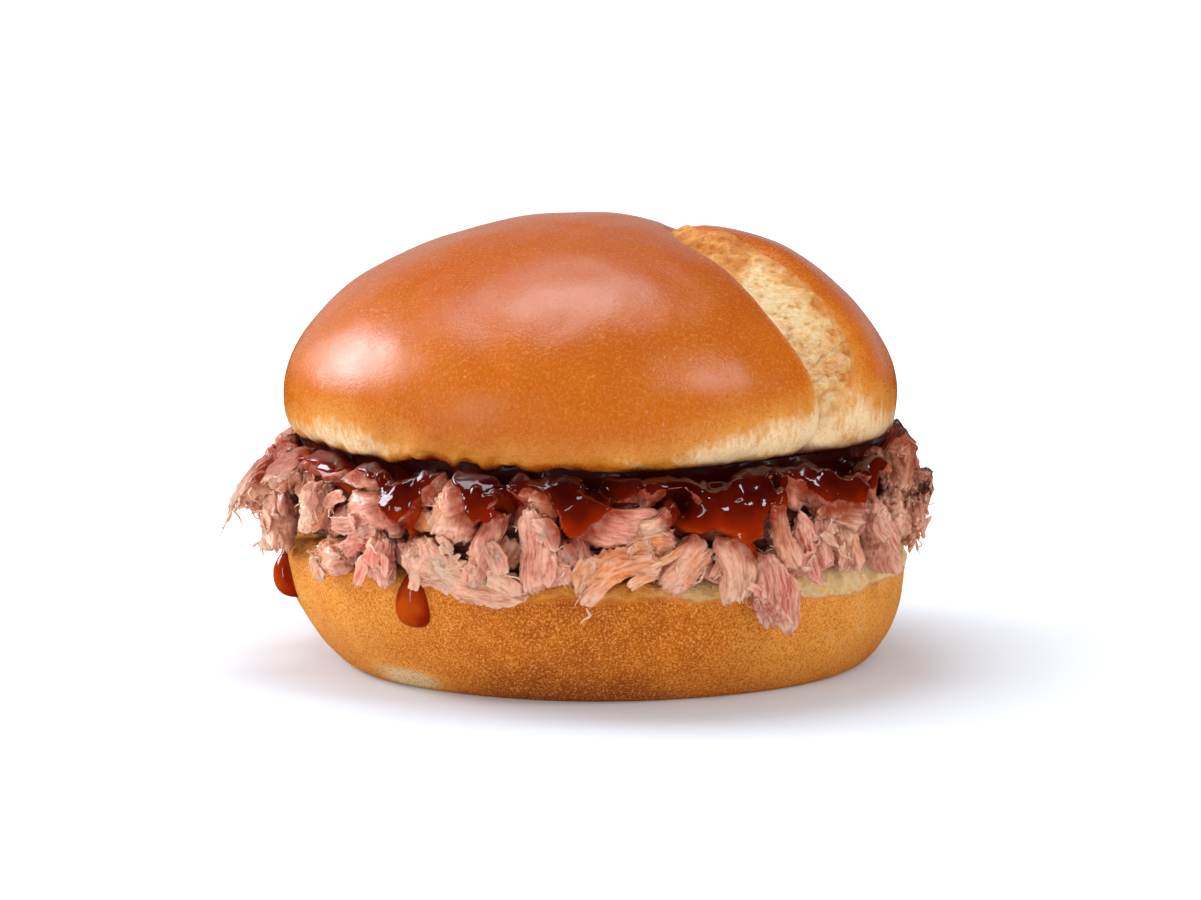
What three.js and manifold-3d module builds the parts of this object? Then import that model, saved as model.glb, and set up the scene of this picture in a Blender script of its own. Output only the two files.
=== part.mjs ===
// A pulled pork sandwich on a folded brioche roll: the toasted heel, a heap of shredded pork, a layer of
// barbecue sauce that hangs over the pork in tongues, drops of sauce on the heel's side, and the crown, whose
// main lobe is folded over a smaller second lobe.
// Millimetres, +Z up. The origin is the centre of the heel's flat underside, and the front faces -Y.
import * as THREE from "three";
import { mergeVertices } from "three/addons/utils/BufferGeometryUtils.js";
import Module from "manifold-3d";

const wasm = await Module();
wasm.setup();

// ---------------------------------------------------------------- driving sizes

const BUN_WIDTH = 110; // the crown, left to right
const BUN_DEPTH = 107; // the crown, front to back
const SANDWICH_HEIGHT = 78;
const HEEL_RIM_HEIGHT = 19.5; // where the baked side ends and the cut crumb starts
const HEEL_CRUMB_HEIGHT = 23; // the cut face, under the pork
const CROWN_BASE_HEIGHT = 40; // the crown's flat cut face
const CROWN_WIDEST_HEIGHT = 47.5;
const SAUCE_THICKNESS = 1.4;
const GAP = 0.3; // left between two solids that touch

const BUN_RADIUS = BUN_WIDTH / 2;
const ROUND = 2 * Math.PI;
const { degToRad, lerp, clamp } = THREE.MathUtils;

// ---------------------------------------------------------------- materials

const crustMaterial = new THREE.MeshStandardMaterial({ color: 0xb8672c, roughness: 0.35, metalness: 0 });
const heelMaterial = new THREE.MeshStandardMaterial({ color: 0xcf8a4a, roughness: 0.7, metalness: 0 });
const porkMaterial = new THREE.MeshStandardMaterial({ color: 0xd3a38c, roughness: 0.55, metalness: 0 });
const sauceMaterial = new THREE.MeshStandardMaterial({ color: 0x6a1c0a, roughness: 0.15, metalness: 0 });

// ---------------------------------------------------------------- helpers

/** Numbers from 0 to 1 that are the same on every run. */
function makeRandom(seed) {
  let state = seed;
  return () => {
    state = (Math.imul(state, 1664525) + 1013904223) >>> 0;
    return state / 2 ** 32;
  };
}

/** A closed geometry whose triangles share their corners, also along the seam of its texture map. */
function joined(geometry) {
  const bare = geometry.clone();
  bare.deleteAttribute("normal");
  bare.deleteAttribute("uv");
  return mergeVertices(bare, 1e-4);
}

/** Moves every vertex of a geometry with warp(point), which changes the point in place. */
function warped(geometry, warp) {
  const made = joined(geometry);
  const at = made.attributes.position;
  const point = new THREE.Vector3();
  for (let i = 0; i < at.count; i++) {
    warp(point.fromBufferAttribute(at, i));
    at.setXYZ(i, point.x, point.y, point.z);
  }
  return made;
}

/** A closed geometry as a manifold-3d solid. */
function solid(geometry) {
  const { attributes, index } = geometry.attributes.normal ? joined(geometry) : geometry;
  return new wasm.Manifold(
    new wasm.Mesh({
      numProp: 3,
      vertProperties: attributes.position.array,
      triVerts: new Uint32Array(index.array),
    }),
  );
}

/** The largest body of a solid, without the scraps that a cut leaves loose. */
function largestBody(made) {
  const bodies = made.simplify(0.05).decompose();
  return bodies.reduce((best, body) => (body.volume() > best.volume() ? body : best));
}

/** A named mesh from a manifold-3d solid. */
function namedMesh(name, made, material) {
  const { numProp, vertProperties, triVerts } = made.getMesh();
  const geometry = new THREE.BufferGeometry();
  geometry.setAttribute("position", new THREE.BufferAttribute(vertProperties, numProp));
  geometry.setIndex(new THREE.BufferAttribute(triVerts, 1));
  geometry.computeVertexNormals();
  const mesh = new THREE.Mesh(geometry, material);
  mesh.name = name;
  return mesh;
}

/** A body of revolution round +Z from its outline, [radius, height] from the bottom of the axis to the top. */
function turned(outline, segments) {
  const points = outline.map(([radius, height]) => new THREE.Vector2(radius, height));
  return new THREE.LatheGeometry(points, segments).rotateX(Math.PI / 2);
}

/** The place at an azimuth (0 is the front, 90 the right-hand side), a radius and a height. */
function around(azimuth, radius, height) {
  const a = degToRad(azimuth);
  return new THREE.Vector3(radius * Math.sin(a), -radius * Math.cos(a), height);
}

// ---------------------------------------------------------------- the heel

const HEEL_SEGMENTS = 60;
const HEEL_SIDE_STEPS = 5;
const CONTACT_RADIUS = 47; // the flat underside
const RIM_RADIUS = 55.7;

/** The heel, swollen by grow all over. Its left side is undercut more than its right. */
function heel(grow = 0) {
  const outline = [[0, -grow], [CONTACT_RADIUS, -grow]];
  for (let step = 1; step <= HEEL_SIDE_STEPS; step++) {
    const up = step / HEEL_SIDE_STEPS;
    outline.push([lerp(CONTACT_RADIUS, RIM_RADIUS, 1 - (1 - up) ** 2.6) + grow, up * HEEL_RIM_HEIGHT]);
  }
  outline.push(
    [RIM_RADIUS - 1.4 + grow, HEEL_RIM_HEIGHT + 1.1 + grow],
    [RIM_RADIUS - 6, HEEL_CRUMB_HEIGHT - 1.2 + grow],
    [RIM_RADIUS - 12, HEEL_CRUMB_HEIGHT + grow],
    [0, HEEL_CRUMB_HEIGHT + grow],
  );
  return solid(
    warped(turned(outline, HEEL_SEGMENTS), (p) => {
      const angle = Math.atan2(p.y, p.x);
      const up = clamp(p.z / HEEL_RIM_HEIGHT, 0, 1);
      const low = (1 - up) ** 2; // 1 at the underside, 0 at the rim
      const wide = 1 + 0.008 * Math.cos(angle) + 0.03 * low * Math.cos(angle) + 0.006 * Math.sin(3 * angle + 1);
      const deep = BUN_DEPTH / BUN_WIDTH;
      const out = Math.hypot(p.x, p.y) / RIM_RADIUS;
      const rise = up ** 3 * out ** 4 * (0.5 * Math.sin(2 * angle + 0.6) + 0.35 * Math.sin(5 * angle + 2));
      p.set(p.x * wide, p.y * wide * deep, p.z + rise);
    }),
  );
}

// ---------------------------------------------------------------- the crown

const CROWN_SEGMENTS = 60;
const CROWN_TOP_STEPS = 11;
const CROWN_EDGE_STEPS = 3;
// Seen from above the fold is an arc round this point. The second lobe lies inside it.
const FOLD_CENTRE = new THREE.Vector2(58, 5);
const FOLD_RADIUS = 44.5;
const FOLD_ROLL = 1.2; // how far the main lobe's edge rolls down to the fold
const FOLD_DEPTH = 5; // how far the second lobe lies under the dome at the fold, half way up
const FOLD_END_DEPTH = 2.8; // and at the top and at the underside
const FOLD_WIDTH = 11; // over which the second lobe comes back up to the dome
const SECOND_LOBE_SWELL = 2.2;
const CUTTER_HEIGHT = 120;

/** How far a place lies inside the fold's arc: below 0 on the main lobe. */
function insideFold(x, y) {
  return FOLD_RADIUS - Math.hypot(x - FOLD_CENTRE.x, y - FOLD_CENTRE.y);
}

/** The whole dome, moved out along its normal by shift(inside, high), high being 0 at the underside and 1 on top. */
function dome(grow, shift) {
  const edge = CROWN_WIDEST_HEIGHT - CROWN_BASE_HEIGHT;
  const rise = SANDWICH_HEIGHT - CROWN_WIDEST_HEIGHT;
  const outline = [[0, CROWN_BASE_HEIGHT], [0.5 * BUN_RADIUS, CROWN_BASE_HEIGHT]];
  for (let step = 0; step < CROWN_EDGE_STEPS; step++) {
    const turn = (Math.PI / 2) * (step / CROWN_EDGE_STEPS);
    outline.push([BUN_RADIUS - edge * (1 - Math.sin(turn)), CROWN_WIDEST_HEIGHT - edge * Math.cos(turn)]);
  }
  for (let step = 0; step <= CROWN_TOP_STEPS; step++) {
    const turn = (Math.PI / 2) * (step / CROWN_TOP_STEPS);
    const radius = step === CROWN_TOP_STEPS ? 0 : BUN_RADIUS * Math.cos(turn);
    outline.push([radius, CROWN_WIDEST_HEIGHT + rise * Math.sin(turn)]);
  }
  const normal = new THREE.Vector3();
  return solid(
    warped(turned(outline, CROWN_SEGMENTS), (p) => {
      const angle = Math.atan2(p.y, p.x);
      const up = (p.z - CROWN_WIDEST_HEIGHT) / (p.z > CROWN_WIDEST_HEIGHT ? rise : edge);
      const out = Math.hypot(p.x, p.y) / BUN_RADIUS;
      normal.set(p.x / BUN_RADIUS, p.y / BUN_RADIUS, up > 0 ? up * 1.8 : up ** 3).normalize();
      p.y *= BUN_DEPTH / BUN_WIDTH;
      const uneven = out ** 2 * (0.5 * Math.sin(2 * angle + 0.9) + 0.3 * Math.sin(5 * angle + 0.4));
      const flatOut = up < 0 ? clamp((out - 0.5) / 0.4, 0, 1) : 1; // the cut face stays flat
      const high = (p.z - CROWN_BASE_HEIGHT) / (SANDWICH_HEIGHT - CROWN_BASE_HEIGHT);
      const move = grow + flatOut * (shift(insideFold(p.x, p.y), high) + uneven);
      p.addScaledVector(normal, move);
      p.z = Math.max(p.z, CROWN_BASE_HEIGHT - grow);
    }),
  );
}

/** The crown, swollen by grow all over: the main lobe ends at the fold, and the second comes out from under it. */
function crown(grow = 0) {
  const mainLobe = dome(grow, (inside) => -FOLD_ROLL * Math.exp(Math.min(inside, 0) / 4));
  const secondLobe = dome(grow, (inside, high) => {
    const depth = lerp(FOLD_END_DEPTH, FOLD_DEPTH, Math.sin(Math.PI * clamp(high, 0, 1)) ** 0.7);
    const sink = depth * Math.exp(-((Math.max(inside, 0) / FOLD_WIDTH) ** 1.5));
    const swell = SECOND_LOBE_SWELL * high * Math.exp(-(((inside - 20) / 10) ** 2));
    return swell - sink;
  });
  const cutter = new THREE.CylinderGeometry(FOLD_RADIUS - grow, FOLD_RADIUS - grow, CUTTER_HEIGHT, 64);
  cutter.rotateX(Math.PI / 2).translate(FOLD_CENTRE.x, FOLD_CENTRE.y, CROWN_WIDEST_HEIGHT);
  return mainLobe.subtract(solid(cutter)).add(secondLobe);
}

// ---------------------------------------------------------------- the pork

const PORK_TOP_HEIGHT = CROWN_BASE_HEIGHT - GAP - SAUCE_THICKNESS - GAP;
const PORK_CORE_RADIUS = 53.5;

// The large shreds at the front, from left to right: azimuth, height, distance of the middle from the axis,
// length, width, thickness, and lean, which is the angle of the fibres above the horizontal.
const FRONT_SHREDS = [
  [-80, 33.0, 60.5, 11.0, 6.0, 9, -60],
  [-67, 36.5, 56.5, 9.0, 7.0, 8, 20],
  [-73, 27.0, 57.0, 10.0, 6.0, 6, -70],
  [-59, 37.5, 53.5, 9.0, 5.0, 7, 30],
  [-58, 30.5, 56.5, 11.5, 5.5, 6, 50],
  [-40, 34.0, 55.5, 17.0, 7.0, 8, 17],
  [-44, 26.5, 56.0, 9.5, 3.5, 5, 35],
  [-53, 24.0, 55.0, 8.5, 7.0, 8, 5],
  [-39, 24.0, 56.5, 7.5, 7.0, 7, 90],
  [-22, 34.0, 55.5, 11.0, 10.0, 9, 60],
  [-28, 25.5, 55.5, 11.5, 8.0, 7, -40],
  [-17, 27.5, 57.0, 12.5, 4.5, 5, 80],
  [-19, 22.0, 56.0, 17.0, 6.0, 5, -6],
  [-9, 27.5, 55.5, 15.0, 8.5, 8, 95],
  [-8, 35.5, 54.0, 7.5, 6.0, 7, -50],
  [3, 33.5, 54.0, 14.0, 9.0, 8, -20],
  [-1, 25.0, 56.0, 11.5, 4.5, 5, -60],
  [4, 24.5, 57.0, 13.5, 6.0, 6, 25],
  [10, 33.0, 56.5, 10.5, 4.0, 5, 30],
  [10, 28.8, 56.5, 7.0, 5.5, 6, 5],
  [16, 25.5, 55.0, 9.5, 6.5, 7, 40],
  [24, 34.0, 55.0, 18.0, 9.0, 8, 5],
  [24, 25.5, 56.5, 12.0, 7.5, 7, -75],
  [35, 30.5, 56.5, 12.5, 5.5, 7, -75],
  [31.5, 20.0, 58.6, 13.0, 8.5, 6, -80],
  [39.5, 26.5, 56.0, 10.0, 4.0, 6, -80],
  [44, 26.5, 56.0, 9.0, 3.5, 6, -75],
  [49, 26.0, 55.5, 10.5, 4.0, 6, -75],
  [47, 34.5, 55.0, 13.0, 8.5, 8, -20],
  [62, 26.5, 56.5, 14.5, 8.5, 7, -50],
  [76, 29.8, 58.5, 10.0, 6.0, 8, 0],
  [66, 37.0, 54.5, 9.5, 7.0, 7, 80],
];

// The sides and the back are covered by rows of shreds: height, and distance of the middle from the axis.
const BACK_ROWS = [
  [25.0, 54.0],
  [30.5, 55.0],
  [35.8, 53.5],
];
const BACK_START = 81;
const BACK_END = 272;
const BACK_SHREDS_A_ROW = 8;

/** The shreds of the sides and back, in the same columns as FRONT_SHREDS, uneven in place and size. */
function backShreds() {
  const random = makeRandom(7);
  const spread = (middle, half) => middle + half * (2 * random() - 1);
  const step = (BACK_END - BACK_START) / BACK_SHREDS_A_ROW;
  return BACK_ROWS.flatMap(([height, distance], row) =>
    Array.from({ length: BACK_SHREDS_A_ROW }, (_, i) => [
      spread(BACK_START + (i + 0.5 * (row % 2)) * step, 0.3 * step),
      spread(height, 1.2),
      spread(distance, 1.3),
      spread(16.5, 2.5),
      spread(9.8, 1.4),
      spread(7.5, 1.2),
      spread(0, 85),
    ]),
  );
}

/** One shred: a bundle of fibres with blunt ends, a little bent and knobbly. */
function shred([azimuth, height, distance, length, width, thickness, lean], index) {
  const bend = 0.12 * Math.sin(2.4 * index);
  const shape = warped(new THREE.CapsuleGeometry(1, 1.6, 2, 6), (p) => {
    const along = p.y / 1.8; // -1 to 1 along the fibres
    const knob = 1 + 0.12 * Math.sin(3 * Math.atan2(p.z, p.x) + 2.5 * along + index);
    p.set(
      0.5 * length * along,
      -0.5 * width * knob * p.x + bend * length * (1 - along ** 2),
      0.5 * thickness * knob * p.z,
    );
  });
  const outward = around(azimuth, 1, 0);
  const right = new THREE.Vector3(-outward.y, outward.x, 0);
  const up = new THREE.Vector3(0, 0, 1);
  const fibres = right.multiplyScalar(Math.cos(degToRad(lean))).addScaledVector(up, Math.sin(degToRad(lean)));
  const across = new THREE.Vector3().crossVectors(outward, fibres);
  const place = new THREE.Matrix4().makeBasis(fibres, across, outward);
  place.setPosition(around(azimuth, distance, height));
  return solid(shape.applyMatrix4(place));
}

/** The middle of the heap, which the shreds are fused to. */
function porkCore() {
  const bottom = HEEL_CRUMB_HEIGHT - 1.5; // the heel cuts off what lies too low
  const outline = [
    [0, bottom],
    [PORK_CORE_RADIUS - 8, bottom],
    [PORK_CORE_RADIUS, bottom + 1],
    [PORK_CORE_RADIUS + 0.5, lerp(bottom, PORK_TOP_HEIGHT, 0.5)],
    [PORK_CORE_RADIUS - 2, PORK_TOP_HEIGHT - 1],
    [PORK_CORE_RADIUS - 6, PORK_TOP_HEIGHT],
    [0, PORK_TOP_HEIGHT],
  ];
  return solid(
    warped(turned(outline, 26), (p) => {
      const angle = Math.atan2(p.y, p.x);
      const uneven = 1 + 0.012 * Math.sin(7 * angle) + 0.01 * Math.sin(11 * angle + 2);
      p.set(p.x * uneven, p.y * uneven, p.z);
    }),
  );
}

// ---------------------------------------------------------------- the sauce

const SAUCE_POOL_RADIUS = 49;
const TONGUE_THICKNESS = 1.8;
const TONGUE_DISTANCE = 58.6; // from the axis to the middle of a tongue where it hangs
// Where sauce hangs over the pork: azimuth, half its width, and the height that it reaches down to.
const TONGUES = [
  [-66, 4.0, 33.5],
  [-50, 5.5, 32.0],
  [-32, 6.0, 27.5],
  [-17, 4.5, 31.0],
  [1, 8.5, 28.5],
  [24, 11.0, 28.5],
  [47, 7.5, 29.5],
  [69, 4.0, 32.5],
  [101, 7.0, 29.0],
  [133, 9.0, 31.0],
  [160, 6.5, 27.5],
  [191, 9.5, 30.0],
  [232, 8.0, 28.5],
  [262, 5.5, 31.5],
];
// Drops that have run down the heel's side: azimuth, height of the middle, half the height, half the width.
const DROPS = [
  ["sauce_drop_front", -33, 17.5, 5.6, 3.3],
  ["sauce_drop_left", -77, 16.5, 4.4, 2.7],
  ["sauce_drop_back", 160, 17.0, 5.2, 3.0],
  ["sauce_drop_back_left", 231, 17.5, 4.2, 2.5],
];
const DROP_THICKNESS = 4.2;

/** A tongue of sauce from under the crown, out over the pork and down its side. */
function tongue([azimuth, halfWidth, reach], grow, outside) {
  const path = new THREE.CatmullRomCurve3([
    around(azimuth, SAUCE_POOL_RADIUS - 7, CROWN_BASE_HEIGHT - GAP - 1.1),
    around(azimuth, SAUCE_POOL_RADIUS + 3, CROWN_BASE_HEIGHT - GAP - 1.3),
    around(azimuth, TONGUE_DISTANCE - 1.2, CROWN_BASE_HEIGHT - 3.4),
    around(azimuth, TONGUE_DISTANCE, lerp(CROWN_BASE_HEIGHT - 3.4, reach, 0.5)),
    around(azimuth, TONGUE_DISTANCE, reach),
  ]);
  const outward = around(azimuth, 1, 0);
  const right = new THREE.Vector3(-outward.y, outward.x, 0);
  const half = TONGUE_THICKNESS / 2;
  return solid(
    warped(new THREE.SphereGeometry(1, 8, 8).rotateX(Math.PI / 2), (p) => {
      const along = Math.acos(clamp(p.z, -1, 1)) / Math.PI;
      const middle = path.getPoint(along);
      const run = path.getTangent(along);
      const face = new THREE.Vector3().crossVectors(right, run).normalize();
      const blunt = Math.max(Math.hypot(p.x, p.y), 1e-6) ** -0.55; // keeps the ends broad
      const off = p.y * blunt * (p.y > 0 ? half + grow : half + grow + outside);
      const side = p.x * blunt * (halfWidth + grow);
      const wrap = (side * side) / (2 * TONGUE_DISTANCE);
      const lengthen = grow * (2 * along - 1);
      p.copy(middle)
        .addScaledVector(right, side)
        .addScaledVector(outward, -wrap)
        .addScaledVector(face, off)
        .addScaledVector(run, lengthen);
    }),
  );
}

/** The sauce between the pork and the crown, with its tongues, swollen by grow. */
function sauce(grow = 0, outside = 0) {
  const top = CROWN_BASE_HEIGHT - GAP + grow;
  const bottom = PORK_TOP_HEIGHT + GAP - grow;
  const pool = warped(
    turned([[0, bottom], [SAUCE_POOL_RADIUS, bottom], [SAUCE_POOL_RADIUS + 0.6, (bottom + top) / 2], [SAUCE_POOL_RADIUS, top], [0, top]], 36),
    (p) => {
      const uneven = 1 + 0.02 * Math.sin(6 * Math.atan2(p.y, p.x) + 1);
      p.set(p.x * uneven, p.y * uneven, p.z);
    },
  );
  return TONGUES.reduce((made, row) => made.add(tongue(row, grow, outside)), solid(pool));
}

/** A drop of sauce on the heel's side, pointed above and round below. */
function drop([, azimuth, height, halfHeight, halfWidth], grow = 0) {
  const outward = around(azimuth, 1, 0);
  const right = new THREE.Vector3(-outward.y, outward.x, 0);
  return solid(
    warped(new THREE.SphereGeometry(1, 8, 7).rotateX(Math.PI / 2), (p) => {
      const narrow = 1 - 0.62 * clamp((p.z + 0.2) / 1.2, 0, 1) ** 0.8;
      const side = p.x * (halfWidth + grow) * narrow;
      const out = -p.y * (DROP_THICKNESS / 2 + grow) * narrow;
      const lean = 0.35 * (height + p.z * halfHeight - HEEL_RIM_HEIGHT) * (height < HEEL_RIM_HEIGHT ? 1 : 0);
      const up = height + p.z * (halfHeight + grow);
      p.copy(around(azimuth, RIM_RADIUS - 0.2 + out + clamp(lean, -3, 0), up)).addScaledVector(right, side);
    }),
  );
}

// ---------------------------------------------------------------- the sandwich

const heelAndGap = heel(GAP);
const crownAndGap = crown(GAP);
const sauceLayer = largestBody(sauce().subtract(crownAndGap));
const drops = DROPS.map((row) => largestBody(drop(row).subtract(heelAndGap)));
const heap = wasm.Manifold.union([porkCore(), ...[...FRONT_SHREDS, ...backShreds()].map(shred)]);
const pork = largestBody(
  DROPS.reduce((made, row) => made.subtract(drop(row, GAP)), heap)
    .subtract(heelAndGap)
    .subtract(crownAndGap)
    .subtract(sauce(GAP, 6)),
);

const sandwich = new THREE.Group();
sandwich.add(namedMesh("bottom_bun", heel(), heelMaterial));
sandwich.add(namedMesh("pulled_pork", pork, porkMaterial));
sandwich.add(namedMesh("barbecue_sauce", sauceLayer, sauceMaterial));
DROPS.forEach(([name], i) => sandwich.add(namedMesh(name, drops[i], sauceMaterial)));
sandwich.add(namedMesh("top_bun", crown(), crustMaterial));

export default sandwich;
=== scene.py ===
"""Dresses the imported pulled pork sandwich: a folded roll, shredded pork, barbecue sauce and its drips.

Run it as a script in Blender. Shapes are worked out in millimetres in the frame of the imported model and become
metres when a mesh is made. An azimuth is in degrees: 0 is the front (-Y), 90 the right-hand side (+X).
"""

import math

import bpy
import numpy as np
from bpy.props import FloatProperty, FloatVectorProperty, IntProperty, PointerProperty
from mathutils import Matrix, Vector
from mathutils.bvhtree import BVHTree


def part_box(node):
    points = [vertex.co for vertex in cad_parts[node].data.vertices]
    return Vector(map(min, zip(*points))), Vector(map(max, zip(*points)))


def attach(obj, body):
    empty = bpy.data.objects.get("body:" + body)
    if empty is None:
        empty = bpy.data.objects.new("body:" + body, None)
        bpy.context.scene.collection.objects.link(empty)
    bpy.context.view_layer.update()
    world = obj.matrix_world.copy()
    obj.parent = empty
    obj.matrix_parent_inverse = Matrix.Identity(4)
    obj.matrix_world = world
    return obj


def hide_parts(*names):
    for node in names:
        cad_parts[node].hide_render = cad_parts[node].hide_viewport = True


bl_info = {
    "name": "Pulled Pork Sandwich",
    "version": (1, 0, 0),
    "blender": (4, 5, 0),
    "location": "View3D > Sidebar > Sandwich",
    "description": "Builds a folded roll filled with shredded pork and barbecue sauce around its packed solids",
    "category": "Add Mesh",
}

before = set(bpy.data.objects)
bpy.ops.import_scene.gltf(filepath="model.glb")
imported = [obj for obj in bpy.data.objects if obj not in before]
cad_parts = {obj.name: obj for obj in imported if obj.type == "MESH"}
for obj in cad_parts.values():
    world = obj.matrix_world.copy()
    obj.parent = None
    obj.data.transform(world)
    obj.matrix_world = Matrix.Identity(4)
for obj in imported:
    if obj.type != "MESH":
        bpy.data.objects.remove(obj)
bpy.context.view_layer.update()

MM = 0.001
TURN = 2 * math.pi
UP = np.array((0, 0, 1.0))

# ------------------------------------------------------------------ numbers shared by several pieces

CROWN_LOW, CROWN_HIGH = (corner / MM for corner in (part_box("top_bun")[0].z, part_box("top_bun")[1].z))
BUN_RADIUS = 55.0
BUN_DEPTH_SHARE = 53.5 / 55.0  # front to back over left to right
CROWN_WIDEST = 47.5
CROWN_EDGE = CROWN_WIDEST - 40.0  # the rounded lower edge, as wide as it is high
FOLD_CENTRE = np.array((58.0, 5.0))  # seen from above, the fold is an arc round this point
FOLD_RADIUS = 44.5
HEEL_RIM = 19.5
HEEL_CRUMB = 23.0
HEEL_RADIUS = 55.7
HEAP_RADIUS = 56.0


# ------------------------------------------------------------------ helpers: noise

def lattice_numbers(cell, seed):
    """Three numbers from -1 to 1 for each lattice point, the same on every run."""
    x, y, z = (cell[:, i].astype(np.int64) for i in range(3))
    h = (x * 374761393 + y * 668265263 + z * 1442695041 + seed * 1013904223) & 0xFFFFFFFF
    h = ((h ^ (h >> 13)) * 1274126177) & 0xFFFFFFFF
    h = ((h ^ (h >> 16)) * 2246822519) & 0xFFFFFFFF
    h ^= h >> 15
    return np.stack([((h >> shift) & 1023) / 511.5 - 1 for shift in (0, 10, 20)], axis=1)


def noise(points, size, seed=0):
    """Smooth noise, about -1 to 1. size is a bump's width in mm: one number, or one for each axis."""
    at = np.asarray(points, float).reshape(-1, 3) / size
    cell = np.floor(at)
    within = at - cell
    fade = within**3 * (within * (within * 6 - 15) + 10)
    total = np.zeros(len(at))
    for corner in range(8):
        step = np.array([corner & 1, corner >> 1 & 1, corner >> 2 & 1])
        slope = lattice_numbers(cell + step, seed)
        weight = np.prod(np.where(step, fade, 1 - fade), axis=1)
        total += weight * np.sum(slope * (within - step), axis=1)
    return (total * 1.5).reshape(np.shape(points)[:-1])


def pits(points, size, seed=0):
    """Round pits on a jittered lattice: 1 at a pit's middle, 0 outside it. About half of the cells have one."""
    shape = np.shape(points)[:-1]
    at = np.asarray(points, float).reshape(-1, 3) / size
    cell = np.floor(at)
    best = np.zeros(len(at))
    for corner in range(27):
        step = np.array([corner % 3 - 1, corner // 3 % 3 - 1, corner // 9 - 1])
        jitter = lattice_numbers(cell + step, seed)
        centre = cell + step + 0.5 + 0.45 * jitter
        radius = 0.22 + 0.28 * np.abs(jitter[:, 0] * jitter[:, 2])
        gap = np.linalg.norm(at - centre, axis=1) / radius
        best = np.maximum(best, np.where(jitter[:, 1] > 0, 1 - gap**2, 0))
    return best.reshape(shape)


def smooth_step(low, high, value):
    """0 below low, 1 above high, and a smooth rise between them."""
    t = np.clip((value - low) / (high - low), 0, 1)
    return t * t * (3 - 2 * t)


def bell(value, width):
    """1 at value 0, falling to 0 over a few widths."""
    return np.exp(-((value / width) ** 2))


def bells(at, *rises):
    """A sum of bells, each given by its middle, its height and its width."""
    return sum(height * bell(at - middle, width) for middle, height, width in rises)


def unit(vectors):
    """The same directions, each 1 long."""
    return vectors / np.maximum(np.linalg.norm(vectors, axis=-1, keepdims=True), 1e-9)


def circle(count):
    """Angles all round, in radians."""
    return np.linspace(0, TURN, count, endpoint=False)


def compass(azimuth):
    """The level direction out from the axis at an azimuth in radians."""
    return np.stack([np.sin(azimuth), -np.cos(azimuth), 0 * azimuth], axis=-1)


def level(angle):
    """The level direction at an angle in radians, counted from +X towards the back."""
    return np.stack([np.cos(angle), np.sin(angle), 0 * angle], axis=-1)


def azimuth_of(points):
    """The azimuth of each point, from -180 to 180."""
    return np.degrees(np.arctan2(points[..., 0], -points[..., 1]))


def roll_radius(points):
    """Distance from the axis, with the roll's depth stretched to its width."""
    return np.hypot(points[..., 0], points[..., 1] / BUN_DEPTH_SHARE)


def plain_random(seed):
    """The same row of numbers from 0 to 1 as the solids' own shreds are placed with."""
    state = seed
    while True:
        state = (state * 1664525 + 1013904223) % 2**32
        yield state / 2**32


# ------------------------------------------------------------------ helpers: meshes

def grid_faces(rows, columns, wrap_rows=False):
    """Quads of a grid whose vertices are numbered row by row, and whose columns wrap round."""
    row = np.arange(rows if wrap_rows else rows - 1)
    r, c = (a.ravel() for a in np.meshgrid(row, np.arange(columns), indexing="ij"))
    r2, c2 = (r + 1) % rows, (c + 1) % columns
    return np.stack([r * columns + c, r * columns + c2, r2 * columns + c2, r2 * columns + c], axis=1)


def tube(rings, values):
    """A closed skin over rings of points, with a point in the middle of each end.

    rings has the shape (rings, points round, 3). values holds an array of one number, or one colour, for each
    of those points. Gives points, quads, triangles and values.
    """
    count, around = rings.shape[:2]
    first, last, base = count * around, count * around + 1, (count - 1) * around
    here = np.arange(around)
    after = (here + 1) % around
    triangles = np.vstack([
        np.stack([np.full(around, first), after, here], axis=1),
        np.stack([np.full(around, last), base + here, base + after], axis=1),
    ])

    def with_ends(field):
        flat = field.reshape(first, *field.shape[2:])
        return np.concatenate([flat, field[0].mean(0)[None], field[-1].mean(0)[None]])

    kept = {name: with_ends(field) for name, field in values.items()}
    return with_ends(rings), grid_faces(count, around), triangles, kept


def joined(parts):
    """Several skins, as tube gives them, in one."""
    points, quads, triangles, values = zip(*parts)
    shifts = np.cumsum([0] + [len(p) for p in points[:-1]])
    return (
        np.vstack(points),
        np.vstack([q + shift for q, shift in zip(quads, shifts)]),
        np.vstack([t + shift for t, shift in zip(triangles, shifts)]),
        {name: np.concatenate([v[name] for v in values]) for name in values[0]},
    )


def tubes(stacks, values):
    """Many tubes in one skin. stacks and each of the values hold what tube takes, for one after another."""
    return joined([tube(rings, {name: v[i] for name, v in values.items()}) for i, rings in enumerate(stacks)])


def spaced(line, count, density):
    """count points along a line, closer together where density(distance along it) is larger."""
    steps = np.linalg.norm(np.diff(line, axis=0), axis=1)
    along = np.concatenate([[0], np.cumsum(steps)])
    weight = np.concatenate([[0], np.cumsum(steps * density((along[1:] + along[:-1]) / 2))])
    wanted = np.interp(np.linspace(0, weight[-1], count), weight, along)
    return np.column_stack([np.interp(wanted, along, line[:, i]) for i in range(3)])


def add_object(name, data, place=(0, 0, 0), back=None):
    """Puts an object into the scene, at a place in metres and with its back turned along a direction."""
    made = bpy.data.objects.new(name, data)
    made.location = place
    if back:
        made.rotation_euler = back.to_track_quat("Z", "Y").to_euler()
    bpy.context.scene.collection.objects.link(made)
    return made


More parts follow.
